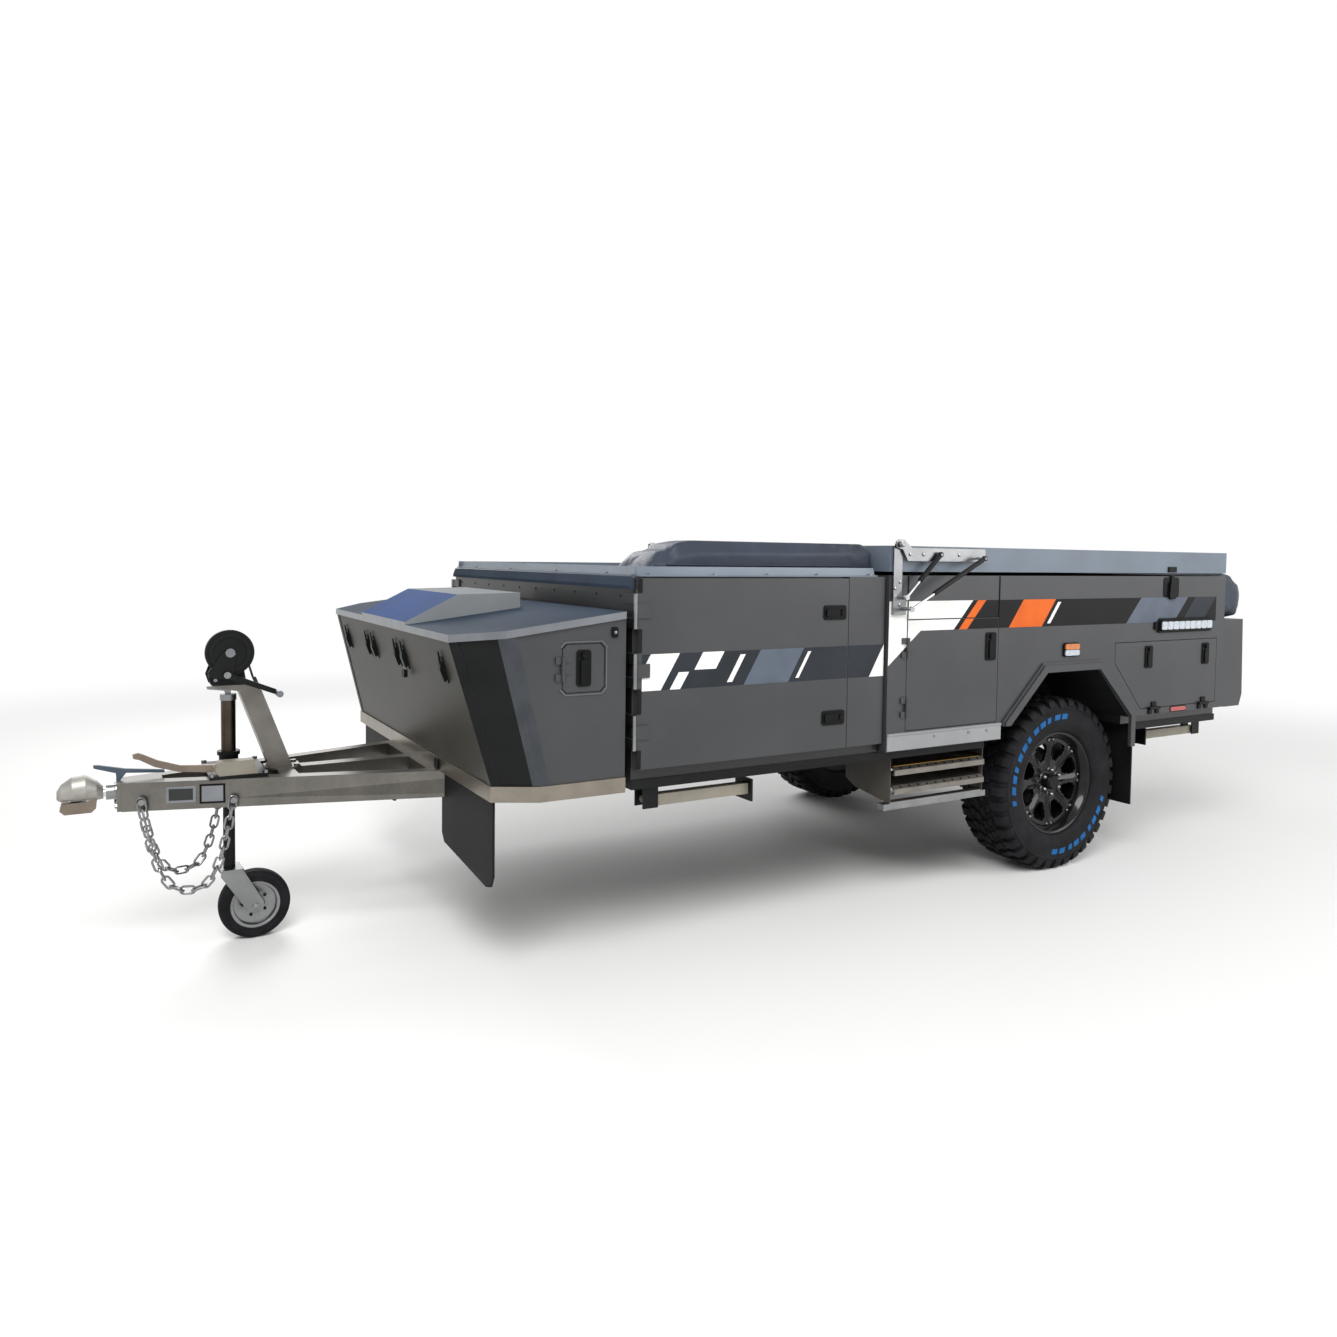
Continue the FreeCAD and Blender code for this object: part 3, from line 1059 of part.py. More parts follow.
def rear_body():
    """Hollow, open-topped rear body with wheel wells, an entry door and two hatches."""
    d = dim
    w = d.body_wall
    shell = station(body_named("rear_shell"))
    pad(shell, "XZ_Plane", -d.rear_y, d.rear_y, [rear_side(d)])
    core = station(body_named("rear_core"))
    pad(core, "XZ_Plane", -(d.sill_y - 8), d.sill_y - 8, [rect(-d.rear_tail, d.rear_nose, d.floor_z,
                                                               d.arch_top)])
    block = fused("rear_block", [shell, core])
    room = station(body_named("rear_room"))
    pad(room, "XZ_Plane", -d.rear_wall_y, d.rear_wall_y,
        [rect(-d.rear_tail + w, d.rear_nose - w, d.floor_z + w, d.rear_top + 10)])
    f = d.flare_w
    well_side = [(d.arch_front - f, d.floor_z - 10), (d.arch_front - f, d.arch_front_z - 20),
                 (d.arch_rise_x - f / 2, d.arch_top - f), (-d.arch_fall_x + f / 2, d.arch_top - f),
                 (-d.arch_back + f, d.arch_back_z), (-d.arch_back + f, d.floor_z - 10)]
    t = d.well_t
    tub_side = [(d.arch_front - f + t, d.floor_z - 10), (d.arch_front - f + t, d.arch_front_z - 10),
                (d.arch_rise_x - f / 2 + t / 2, d.arch_top - f + t), (-d.arch_fall_x + f / 2 - t / 2,
                                                                      d.arch_top - f + t),
                (-d.arch_back + f - t, d.arch_back_z), (-d.arch_back + f - t, d.floor_z - 10)]
    tubs = station(body_named("wheel_tubs"))
    wells = station(body_named("wheel_wells"))
    for start, end in ((-(d.rear_y + 2), -(d.well_y)), (d.well_y, d.rear_y + 2)):
        pad(wells, "XZ_Plane", start, end, [well_side])
    for start, end in ((-(d.rear_y + 2), -(d.well_y - t)), (d.well_y - t, d.rear_y + 2)):
        pad(tubs, "XZ_Plane", start, end, [tub_side])
    hollow = less("rear_hollow", room, tubs)
    open_box = less("rear_open", block, hollow)
    welled = less("rear_welled", open_box, wells)
    seats = station(body_named("door_seats"))
    seat = rect(d.entry_back - d.seam, d.entry_front + d.seam, d.entry_low - d.seam, d.entry_high + d.seam)
    pad(seats, "XZ_Plane", -(d.rear_y + 1), -(d.rear_y - d.door_t), [seat])
    lip = d.frame_lip
    pad(seats, "XZ_Plane", -(d.rear_y - d.door_t + 1), -(d.rear_wall_y - 2), [rect(
        d.entry_back + lip, d.entry_front - lip, d.entry_low + lip, d.entry_high - lip)])
    hatch_seat = hatch_outline(d, d.seam)
    hatch_hole = hatch_outline(d, -lip)
    for start, end in ((-(d.rear_y + 1), -(d.rear_y - d.door_t)), (d.rear_y - d.door_t, d.rear_y + 1)):
        pad(seats, "XZ_Plane", start, end, [hatch_seat])
    for start, end in ((-(d.rear_y - d.door_t + 1), -(d.rear_wall_y - 2)),
                       (d.rear_wall_y - 2, d.rear_y - d.door_t + 1)):
        pad(seats, "XZ_Plane", start, end, [hatch_hole])
    knuckles = station(body_named("rear_hatch_hinges"))
    for x in (-960, -560):
        hinge_fixed(knuckles, "YZ_Plane", size_of(x), rear_hatch_pin(d), rect(
            d.rear_y - 0.5, d.rear_y + d.hinge_plate + 3, d.quarter_low + 4,
            rear_hatch_pin(d)[1] - d.hinge_r + 3))
    hatch_hinges = both_sides("rear_hatch_hinge_pair", knuckles)
    entry_pin = (d.entry_front + d.seam / 2, d.rear_y + d.hinge_out)
    entry_hinges = station(body_named("entry_hinges"))
    for z in (840, 1080):
        hinge_fixed(entry_hinges, "XY_Plane", size_of(z), entry_pin, side_plate(
            entry_pin[0] + d.hinge_r - 3, entry_pin[0] + 30, d.rear_y, 1))
    skirt = station(body_named("skirt_plate"))
    y = d.rear_y
    pad(skirt, "YZ_Plane", d.skirt_end + 4, d.rear_nose - 4, [[
        (y - 1, d.skirt_low + 3), (y + 4, d.skirt_low + 3), (y + 4, d.entry_low - 19),
        (y + 8, d.entry_low - 14),
        (y + 8, d.entry_low - 9), (y - 1, d.entry_low - 7)]])
    catch = station(body_named("lid_latch"))
    x = -d.lid_latch_x
    pad(catch, "XZ_Plane", -(y + 3), -(y - 1), [clipped(x - 60, x + 60, d.rear_top - 104, d.rear_top - 6,
                                                        10)])
    pad(catch, "XZ_Plane", -(y + 14), -(y + 2), [[
        (x - 26, d.rear_top - 96), (x - 18, d.rear_top - 112), (x + 18, d.rear_top - 112),
        (x + 26, d.rear_top - 96),
        (x + 20, d.rear_top - 30), (x - 20, d.rear_top - 30)]])
    pad(catch, "XZ_Plane", -(y + 10), -(y + 2), [rect(x - 11, x + 11, d.rear_top - 34, d.rear_top + 4)])
    fittings = both_sides("side_fittings", fused("side_fitting_set", [skirt, catch]))
    walls = less("rear_body_shell", welled, seats)
    keep("rear_body", fused("rear_body_set", [walls, hatch_hinges, entry_hinges, fittings]))
    entry = station(body_named("entry_door"))
    pad(entry, "XZ_Plane", -d.rear_y, -(d.rear_y - d.door_t + 1), [rect(
        d.entry_back, d.entry_front, d.entry_low, d.entry_high)])
    flush_latch(entry, d.rear_y, d.entry_back + 16, d.entry_back + 76, size_of(1010), size_of(1130))
    for z in (840, 1080):
        hinge_moving(entry, "XY_Plane", size_of(z), entry_pin, side_plate(
            entry_pin[0] - 30, entry_pin[0] - d.hinge_r + 3, d.rear_y, 1))
    keep("entry_door", entry)
    hatch = station(body_named("rear_hatch_near"))
    pad(hatch, "XZ_Plane", -d.rear_y, -(d.rear_y - d.door_t + 1), [hatch_outline(d, 0)])
    for x in (510, 970):
        flush_latch(hatch, d.rear_y, size_of(-x - 28), size_of(-x + 28), size_of(928), size_of(1036))
    for x in (-960, -560):
        hinge_moving(hatch, "YZ_Plane", size_of(x), rear_hatch_pin(d), rect(
            d.rear_y - 0.5, d.rear_y + d.hinge_plate + 3, rear_hatch_pin(d)[1] + d.hinge_r - 3,
            rear_hatch_pin(d)[1] + 30))
    keep("rear_hatch_near", hatch)
    keep("rear_hatch_far", far_side("rear_hatch_far", hatch))


def hatch_outline(d, grow):
    """Rear hatch with its lower front corner clipped, grown or shrunk all round."""
    return [(-d.rear_hatch_back - grow, d.rear_hatch_low - grow), (-d.rear_hatch_cut + grow / 2,
                                                                   d.rear_hatch_low - grow),
            (-d.rear_hatch_front + grow, d.rear_hatch_cut_z - grow / 2),
            (-d.rear_hatch_front + grow, d.rear_hatch_high + grow),
            (-d.rear_hatch_back - grow, d.rear_hatch_high + grow)]


def flares():
    """Raised angular border round each wheel opening."""
    d = dim
    f = d.flare_w
    flare = station(body_named("arch_flare"))
    for out, edge in ((d.flare_t - 7, size_of(0)), (d.flare_t, size_of(11))):
        pad(flare, "XZ_Plane", -(d.rear_y + out), -d.rear_y, [[
            (d.arch_front - edge, d.arch_front_z - 20), (d.arch_front - edge, d.arch_front_z - edge / 2),
            (d.arch_rise_x - edge / 2, d.arch_top - edge), (-d.arch_fall_x + edge / 2, d.arch_top - edge),
            (-d.arch_back + edge, d.arch_back_z + 20), (-d.arch_back + edge, d.arch_back_z - 140),
            (-d.arch_back + f, d.arch_back_z - 140), (-d.arch_back + f, d.arch_back_z + 10),
            (-d.arch_fall_x + f / 2, d.arch_top - f), (d.arch_rise_x - f / 2, d.arch_top - f),
            (d.arch_front - f, d.arch_front_z - 20)]])
    keep("arch_flares", both_sides("flare_pair", flare))


def main_lid():
    """Main lid, an upside-down tray, with its steel arms and the hinge posts beside it."""
    d = dim
    lid = station(body_named("lid"))
    pad(lid, "XY_Plane", d.lid_low, d.lid_high, [rect(-d.rear_tail, d.rear_nose, -d.rear_y, d.rear_y)])
    t = d.lid_t
    cut(lid, "XY_Plane", d.lid_low - 1, d.lid_high - t,
        [rect(-d.rear_tail + t, d.rear_nose - t, -d.rear_y + t, d.rear_y - t)])
    for side in (1, -1):
        ends = sorted((-side * (d.rear_y + 8).value, -side * (d.rear_y - 1).value))
        keeper = [rect(-d.lid_latch_x - 30, -d.lid_latch_x + 30, d.lid_low + 4, d.lid_low + 30)]
        pad(lid, "XZ_Plane", *ends, keeper)
    keep("lid", lid)
    arm = station(body_named("lid_arm"))
    pad(arm, "XZ_Plane", -(d.arm_y + d.arm_t), -d.arm_y, [[
        (d.pivot_x + 20, d.pivot_z - 12), (d.pivot_x + 20, d.pivot_z + 12), (d.pivot_x + 8, d.pivot_z + 20),
        (d.pivot_x - 20, d.pivot_z + 20), (d.pivot_x - 60, d.arm_high), (d.arm_back, d.arm_high),
        (d.arm_back, d.arm_low), (d.pivot_x - 40, d.arm_low), (d.pivot_x - 14, d.pivot_z - 20)]],
        rings=[(d.pivot_x, d.pivot_z, d.pin_r + d.touch_gap)])
    pad(arm, "XZ_Plane", -(d.arm_y + 1), -d.rear_y, [rect(
        d.arm_back + 10, d.pivot_x - 90, d.arm_low + 6, d.arm_high - 6)])
    for x, z, y in ((d.strut_a_top_x, d.strut_a_top_z, d.strut_y),
                    (d.strut_b_top_x, d.strut_b_top_z, d.strut_y + d.strut_step)):
        pad(arm, "XZ_Plane", -(y + 8), -(d.arm_y + d.arm_t - 1), rings=[(x, z, d.strut_rod_r)])
    keep("lid_arms", both_sides("lid_arm_pair", arm))
    post = station(body_named("hinge_post"))
    pad(post, "XZ_Plane", -(d.post_y + d.post_t), -d.post_y, [[
        (d.pivot_x - d.post_w / 2, d.post_low), (d.pivot_x + d.post_w / 2, d.post_low),
        (d.pivot_x + d.post_w / 2, d.pivot_z - 6), (d.pivot_x + 12, d.pivot_z + 14),
        (d.pivot_x - 12, d.pivot_z + 14), (d.pivot_x - d.post_w / 2, d.pivot_z - 6)]])
    pad(post, "XZ_Plane", -(d.post_y + 1), -d.rear_y, [rect(
        d.pivot_x - d.post_w / 2, d.pivot_x + d.post_w / 2, d.post_low, d.rear_top - 6)])
    pad(post, "XZ_Plane", -(d.arm_y + d.arm_t + 6), -(d.post_y + d.post_t - 1),
        rings=[(d.pivot_x, d.pivot_z, d.pin_r)])
    pad(post, "XZ_Plane", -(d.post_y + d.post_t), -d.rear_y, [rect(
        d.strut_b_low_x - 20, d.pivot_x + d.post_w / 2, d.strut_b_low_z - 24, d.post_low + 1)])
    for x, z, y in ((d.strut_a_low_x, d.strut_a_low_z, d.strut_y),
                    (d.strut_b_low_x, d.strut_b_low_z, d.strut_y + d.strut_step)):
        pad(post, "XZ_Plane", -(y - 6), -(d.post_y + d.post_t - 1), rings=[(x, z, d.strut_rod_r + 3)])
    keep("hinge_posts", both_sides("hinge_post_pair", post))


def strut(name, top_x, top_z, low_x, low_z, share, y):
    """Lift strut: tube hung from the lid arm, rod with its eye beside the lower stud."""
    d = dim
    span = root_of(top_x - low_x, top_z - low_z)
    tube_l = span * share
    tube = body_named(name + "_tube")
    pad(tube, "XZ_Plane", -5.5, 5.5, rings=[(0, 0, d.strut_eye_r), (0, 0, d.strut_rod_r + d.touch_gap)])
    pad(tube, "YZ_Plane", d.strut_eye_r - 1, tube_l, rings=[(0, 0, d.strut_r)])
    cut(tube, "YZ_Plane", d.strut_eye_r + 12, tube_l + 1, rings=[(0, 0, d.strut_rod_r + d.touch_gap)])
    bar = body_named(name + "_rod")
    pad(bar, "YZ_Plane", d.strut_eye_r + 24, span - d.strut_eye_r + 1, rings=[(0, 0, d.strut_rod_r)])
    pad(bar, "XZ_Plane", -5.5, 5.5, rings=[(span, 0, d.strut_eye_r)])
    aim = Vector(low_x.value - top_x.value, 0, low_z.value - top_z.value)
    for piece, label in ((tube, name + "_tubes"), (bar, name + "_rods")):
        place(piece, d.axle_x + top_x, y, top_z)
        piece.Placement.Rotation = Rotation(Vector(1, 0, 0), aim)
        piece.setExpression("Placement.Rotation", f"create(<<rotation>>; create(<<vector>>; 1; 0; 0); "
                            f"create(<<vector>>; {(low_x - top_x).formula}; 0; {(low_z - top_z).formula}))")
        keep(label, both_sides(label + "_pair", piece))


def soft_covers():
    """Closed soft solids: the padded bag along the front body and the cover over the rear box."""
    d = dim
    front = station(body_named("front_cover"))
    top = d.front_top + d.touch_gap
    pad(front, "XZ_Plane", -d.cover_y, -d.cover_in, [[
        (d.rear_nose + 12, top), (d.cover_front, top), (d.cover_front - 10, top + 26),
        (d.cover_crest, d.cover_top - 10), (d.cover_crest - 120, d.cover_top - 4),
        (d.rear_nose + 120, d.cover_top), (d.rear_nose + 12, d.cover_top - 4)]])
    cut(front, "YZ_Plane", d.rear_nose, d.cover_front + 10, [[
        (d.cover_y - 34, d.cover_top + 1), (d.cover_y + 1, d.cover_top - 36),
        (d.cover_y + 1, d.cover_top + 1)]])
    keep("front_cover", front)
    rear = station(body_named("rear_cover"))
    pad(rear, "XZ_Plane", -(d.rear_box_y - 10), d.rear_box_y - 10, [[
        (-d.rear_tail - d.touch_gap, d.rear_cover_low), (-d.rear_tail - d.touch_gap, d.rear_cover_high - 40),
        (-d.rear_tail - 60, d.rear_cover_high - 6), (-d.rear_tail - 150, d.rear_cover_high - 20),
        (-d.rear_reach + 20, d.rear_cover_high - 70), (-d.rear_reach, d.rear_cover_high - 130),
        (-d.rear_reach + 10, d.rear_cover_low + 40), (-d.rear_box_back, d.rear_cover_low)]])
    keep("rear_cover", rear)


def rear_box():
    """Shallow box that hangs behind the rear wall."""
    d = dim
    body = station(body_named("rear_box"))
    back = -d.rear_box_back
    pad(body, "XZ_Plane", -d.rear_box_y, d.rear_box_y, [[
        (-d.rear_tail - d.touch_gap, d.rear_box_low + 10), (-d.rear_tail - d.touch_gap, d.rear_box_high),
        (back, d.rear_box_high), (back - d.rear_box_belly, d.rear_box_low + 60), (back + 10, d.rear_box_low),
        (-d.rear_tail - 80, d.rear_box_low)]])
    keep("rear_box", body)


def road_wheels():
    """Road tyres and spoked rims, near and far."""
    d = dim
    half = d.tyre_w / 2
    bead = d.rim_w / 2
    outer = d.tyre_r
    seat = d.rim_r + d.touch_gap
    lip = d.rim_r + 7.5
    ring = [(seat, -bead + 6.5), (lip, -bead + 4.6), (lip, -bead - 3), (d.rim_r + 30, -half + 6),
            (d.rim_r + 85, -half),
            (outer - 46, -half + 6), (outer - 14, -half + 20), (outer, -half + 34), (outer, half - 34),
            (outer - 14, half - 20), (outer - 46, half - 6), (d.rim_r + 85, half), (d.rim_r + 30, half - 6),
            (lip, bead + 3), (lip, bead - 4.6), (seat, bead - 6.5)]
    well = d.rim_well_r
    face = bead - d.rim_face
    rim_ring = [(d.hub_bore_r, face - d.spoke_t), (well, face - d.spoke_t), (well, -bead),
                (d.rim_r + 7, -bead), (d.rim_r + 7, -bead + 4), (d.rim_r, -bead + 6),
                (d.rim_r - 4, -bead + 30), (well + 12, -bead + 50), (well + 12, bead - 60),
                (d.rim_r - 4, bead - 30),
                (d.rim_r, bead - 6), (d.rim_r + 7, bead - 4), (d.rim_r + 7, bead), (d.rim_r - 8, bead),
                (well + 2, face), (d.hub_r + 30, face - 14), (d.hub_bore_r, face - 6)]
    for side, label in ((1, "near"), (-1, "far")):
        tyre = place(body_named("tyre_" + label), d.axle_x, size_of(side) * d.track / 2, d.axle_z)
        turn(tyre, [ring])
        keep("tyre_" + label, tyre)
        rim = place(body_named("rim_" + label), d.axle_x, size_of(side) * d.track / 2, d.axle_z)
        sign = size_of(side)
        turn(rim, [[(u, sign * v) for u, v in rim_ring]])
        window = cut(rim, "XZ_Plane", -200, 200, [turned([
            (19, 98), (31, 108), (61, 168), (52, 187), (-52, 187), (-61, 168), (-31, 108), (-19, 98)], 22.5)])
        pattern = rim.newObject("PartDesign::PolarPattern", "windows")
        pattern.Originals = [window]
        pattern.Axis = (origin_plane(rim, "Y_Axis"), [""])
        pattern.Angle = 360
        pattern.Occurrences = 8
        rim.Tip = pattern
        keep("rim_" + label, rim)


def hubs():
    """Hubs with their brake drums: they turn on the stub axles and carry the wheels."""
    d = dim
    seat = d.rim_w / 2 - d.rim_face - d.spoke_t
    bore = d.stub_r + d.touch_gap
    for side, label in ((1, "near"), (-1, "far")):
        hub = place(body_named("hub_" + label), d.axle_x, size_of(side) * d.track / 2, d.axle_z)
        sign = size_of(side)
        outline = [(bore, -30 - d.drum_w + 1), (d.drum_r, -30 - d.drum_w + 1), (d.drum_r, -30),
                   (d.drum_r - 30, -20),
                   (d.hub_r, -20), (d.hub_r, seat), (d.hub_bore_r - d.touch_gap, seat),
                   (d.hub_bore_r - d.touch_gap, seat + 40), (d.hub_bore_r - 6, seat + 52), (0, seat + 52),
                   (0, 42), (bore, 42)]
        turn(hub, [[(u, sign * v) for u, v in outline]])
        keep("hub_" + label, hub)


def running_gear():
    """Trailing arms on the chassis, stub axles, brake drums and coil springs."""
    d = dim
    arm_in = d.rail_y + d.rail_w / 2 + 14
    arm = station(body_named("trailing_arm"))
    pad(arm, "XZ_Plane", -(arm_in + 60), -arm_in, [[
        (560, 455), (560, 520), (500, 520), (60, d.axle_z + 45), (-70, d.axle_z + 40), (-70, d.axle_z - 40),
        (60, d.axle_z - 42), (500, 455)]])
    pad(arm, "XZ_Plane", -(arm_in + 80), -(d.rail_y - d.rail_w / 2 - 20), rings=[(530, 488, 30)])
    pad(arm, "XZ_Plane", -(d.rail_y + d.rail_w / 2), -(d.rail_y - d.rail_w / 2), [rect(
        495, 565, 488, d.rail_top - d.rail_h)])
    spring_y = d.rail_y + d.rail_w / 2 + 54
    pad(arm, "XY_Plane", d.axle_z, d.axle_z + 70, rings=[(130, spring_y, 50)])
    pad(arm, "XZ_Plane", -(d.track / 2 + 40), -(arm_in + 55), rings=[(0, d.axle_z, d.stub_r)])
    pad(arm, "XZ_Plane", -(d.track / 2 - 30 - d.drum_w), -(d.track / 2 - 40 - d.drum_w),
        rings=[(0, d.axle_z, d.drum_r)])
    keep("trailing_arms", both_sides("arm_pair", arm))
    spring = place(body_named("coil_spring"), d.axle_x + 130, spring_y, 0)
    pad(spring, "XY_Plane", d.axle_z + 70, d.floor_z, rings=[(0, 0, 48)])
    keep("coil_springs", both_sides("spring_pair", spring))


def flaps():
    """Rubber flaps: a pointed pair behind the front box, a square pair behind the wheels."""
    d = dim
    front = station(body_named("stone_flap"))
    back = d.bar_mid + 6
    inner = rail_line(back) + d.rail_w / 2 + d.flap_gap
    low = d.rail_top - d.rail_h - 4
    pad(front, "YZ_Plane", back, back + 8, [[
        (inner, d.rail_top), (inner, low), (inner - 32, low), (inner - 32, 390), (inner - 4, 360), (800, 322),
        (840, 332), (862, 370), (862, d.rail_top)]])
    keep("stone_flaps", both_sides("stone_flap_pair", front))
    rear = station(body_named("mud_flap"))
    pad(rear, "YZ_Plane", -d.arch_back - 50, -d.arch_back - 42, [rect(660, 945, 262, d.floor_z)])
    keep("mud_flaps", both_sides("mud_flap_pair", rear))


def steps():
    """Entry step: an open box under the skirt with two treads that slide out."""
    d = dim
    frame = station(body_named("step_frame"))
    for start, end in ((d.step_front - 5, d.step_front), (d.step_back, d.step_back + 5)):
        pad(frame, "YZ_Plane", start, end, [[
            (d.step_in, d.floor_z - 32), (d.step_in, d.step_low + 60), (d.step_in + 60, d.step_low + 30),
            (d.step_y, d.step_low), (d.step_y, d.floor_z - 32)]])
    pad(frame, "YZ_Plane", d.step_back + 4, d.step_front - 4, [rect(
        d.step_in, d.step_in + 5, d.step_low + 70, d.floor_z - 32)])
    pad(frame, "YZ_Plane", d.step_back - 20, d.step_front + 30, [rect(
        d.step_y - 40, d.step_y, d.step_low - 26, d.step_low - 0.5)])
    pad(frame, "YZ_Plane", d.step_back, d.step_front, [rect(
        d.step_y - 38, d.step_y - 2, d.step_low - 1, d.step_low + 4)])
    keep("step_frame", frame)
    treads = station(body_named("step_treads"))
    gap = d.swing_gap
    back, front = d.step_back + 5 + d.touch_gap, d.step_front - 5 - d.touch_gap
    for low in (470, 548):
        edge = d.step_y + 18
        pad(treads, "YZ_Plane", back + 5, front - 5, [[
            (d.step_in + 45 + gap, low + 27), (d.step_in + 45 + gap, low + 34), (edge - 16, low + 34),
            (edge, low + 22), (edge, low), (edge - 18, low), (edge - 18, low + 6), (edge - 6, low + 6),
            (edge - 6, low + 18), (edge - 19, low + 27)]])
    for start, end in ((back, back + 6), (front - 6, front)):
        pad(treads, "YZ_Plane", start, end, [rect(d.step_in + 60, d.step_y - 10, 470, 582)])
    keep("step_treads", treads)


def legs():
    """Four drop-down stabiliser legs, folded up along the sills."""
    d = dim
    half = d.leg_s / 2
    for name, x, toward, y in (("leg_front", 2200, -1, 900), ("leg_rear", -1060, 1, 860)):
        leg = place(body_named(name), d.axle_x + x, y, 575)
        tip = size_of(toward) * d.leg_l
        lo, hi = (tip, size_of(0)) if toward < 0 else (size_of(0), tip)
        pad(leg, "YZ_Plane", lo, hi, [rect(-half, half, -half, half)])
        foot0 = tip if toward < 0 else tip - 8
        pad(leg, "YZ_Plane", foot0, foot0 + 8, [rect(-d.leg_foot / 2, d.leg_foot / 2 - 25, -45, 38)])
        pad(leg, "XZ_Plane", -(half + 6), half + 6, rings=[(0, 0, 14)])
        keep(name + "_near", leg)
        keep(name + "_far", far_side(name + "_far", leg))
    mounts = []
    for x, y in ((2200, 900), (-1060, 860)):
        mount = place(body_named("leg_mount"), d.axle_x + x, y, 0)
        for inner in (half + 6 + d.touch_gap, -half - 12 - d.touch_gap):
            pad(mount, "XZ_Plane", -(inner + 6), -inner, [rect(-30, 30, 552, d.rail_top)])
        mounts.append(both_sides("leg_mount_pair", mount))
    keep("leg_mounts", fused("leg_mount_set", mounts))


def rear_face(d, z):
    """Station of the back face of the rear box at a height."""
    return -d.rear_box_back - d.rear_box_belly * (d.rear_box_high - z) / (d.rear_box_high - d.rear_box_low - 60)


def lamps():
    """Side lamp bar, side marker, reflectors and the rear lamp strips."""
    d = dim
    bar = station(body_named("lamp_bar"))
    y = d.rear_y + d.touch_gap
    pad(bar, "XZ_Plane", -(y + 10), -y, [clipped(-1006, -566, 1096, 1166, 14)])
    pad(bar, "XZ_Plane", -(y + 22), -(y + 9), [clipped(-994, -578, 1110, 1152, 10)])
    marker = station(body_named("marker"))
    pad(marker, "XZ_Plane", -(y + 8), -y, [clipped(7, 113, 1006, 1069, 8)])
    pad(marker, "XZ_Plane", -(y + 14), -(y + 7), [clipped(14, 106, 1012, 1063, 6)])
    reflector = station(body_named("reflector"))
    pad(reflector, "XZ_Plane", -(y + 3), -y, [clipped(-826, -694, 702, 730, 6)])
    pieces = [both_sides("side_lamp_pair", fused("side_lamp_set", [bar, marker, reflector]))]
    tail = station(body_named("tail_lamp"))
    low, high = size_of(760), size_of(1060)
    pad(tail, "XZ_Plane", -930, -860, [[
        (rear_face(d, low) - d.touch_gap, low), (rear_face(d, high) - d.touch_gap, high),
        (rear_face(d, high) - 6, high), (rear_face(d, low) - 6, low)]])
    pieces.append(both_sides("tail_lamp_pair", tail))
    lamp_set = doc.addObject("Part::Compound", "lamp_set")
    lamp_set.Links = pieces
    keep("lamps", lamp_set)


def tank():
    """Water tank between the main rails."""
    d = dim
    body = station(body_named("water_tank"))
    edge = d.rail_y - d.rail_w / 2 - 20
    pad(body, "YZ_Plane", 1300, 1950, [[
        (-edge, d.rail_top), (-edge, 520), (-edge + 60, 470), (edge - 60, 470), (edge, 520),
        (edge, d.rail_top)]])
    keep("water_tank", body)


def check(obj):
    """Stop with a plain message if an object failed or has no sound shape."""
    if any(state in ("Invalid", "Error") for state in obj.State):
        raise RuntimeError(f"{obj.Name} ({obj.Label}) did not rebuild: {obj.State}")


def main():
    for build in (chassis, drawbar, base_rail, hitch, handbrake, jockey, winch, chains, front_box, box_lid,
                  box_latches, front_body, rear_body, flares, main_lid, soft_covers, rear_box, road_wheels,
                  hubs,
                  running_gear, flaps, steps, legs, lamps, tank):
        build()
    d = dim
    strut("strut_a", d.strut_a_top_x, d.strut_a_top_z, d.strut_a_low_x, d.strut_a_low_z, d.strut_a_share,
          d.strut_y)
    strut("strut_b", d.strut_b_top_x, d.strut_b_top_z, d.strut_b_low_x, d.strut_b_low_z, d.strut_b_share,
          d.strut_y + d.strut_step)
    doc.recompute()
    for obj in doc.Objects:
        check(obj)
    os.makedirs("parts", exist_ok=True)
    for label, obj in parts.items():
        if obj.Shape.isNull() or not obj.Shape.isValid():
            raise RuntimeError(f"{label} has no sound shape")
    for label, obj in parts.items():
        obj.Shape.exportStep(f"parts/{label}.step")
        box = obj.Shape.BoundBox
        print(f"{label:18s} solids {len(obj.Shape.Solids)}  X {box.XMin:8.1f} {box.XMax:8.1f}  "
              f"Y {box.YMin:8.1f} {box.YMax:8.1f}  Z {box.ZMin:7.1f} {box.ZMax:7.1f}")


main()
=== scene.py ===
from math import cos, dist, radians, sin, tau

import bmesh
import bpy
from mathutils import Matrix, Vector


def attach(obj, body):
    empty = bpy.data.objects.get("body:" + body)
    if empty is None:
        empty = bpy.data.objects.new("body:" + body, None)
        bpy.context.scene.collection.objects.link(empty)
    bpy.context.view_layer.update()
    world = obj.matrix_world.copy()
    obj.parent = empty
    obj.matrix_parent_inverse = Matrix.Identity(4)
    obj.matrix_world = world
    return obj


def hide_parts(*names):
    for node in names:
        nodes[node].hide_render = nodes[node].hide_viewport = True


# Looks of the folding camper trailer. Metres, +X towards the coupling, +Y the kerb side, +Z up.
# What is drawn here uses stations measured forward of the axle, as the part's source does.

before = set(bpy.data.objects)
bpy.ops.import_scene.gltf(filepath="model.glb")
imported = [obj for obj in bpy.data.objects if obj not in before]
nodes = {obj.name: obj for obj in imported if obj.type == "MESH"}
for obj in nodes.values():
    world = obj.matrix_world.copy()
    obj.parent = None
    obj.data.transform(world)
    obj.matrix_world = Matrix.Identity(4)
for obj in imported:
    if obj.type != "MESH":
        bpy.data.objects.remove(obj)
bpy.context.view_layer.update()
scene = bpy.context.scene
AXLE = -1.309  # where the axle stands in the frame
REAR_FACE, DOOR_FACE, BOX_FACE = 0.983, 0.968, 0.959  # side faces of the bodies, out from the middle
JOCKEY_HUB = (3.367, 0, 0.125)
SIDES = ((1, "near"), (-1, "far"))


# Materials

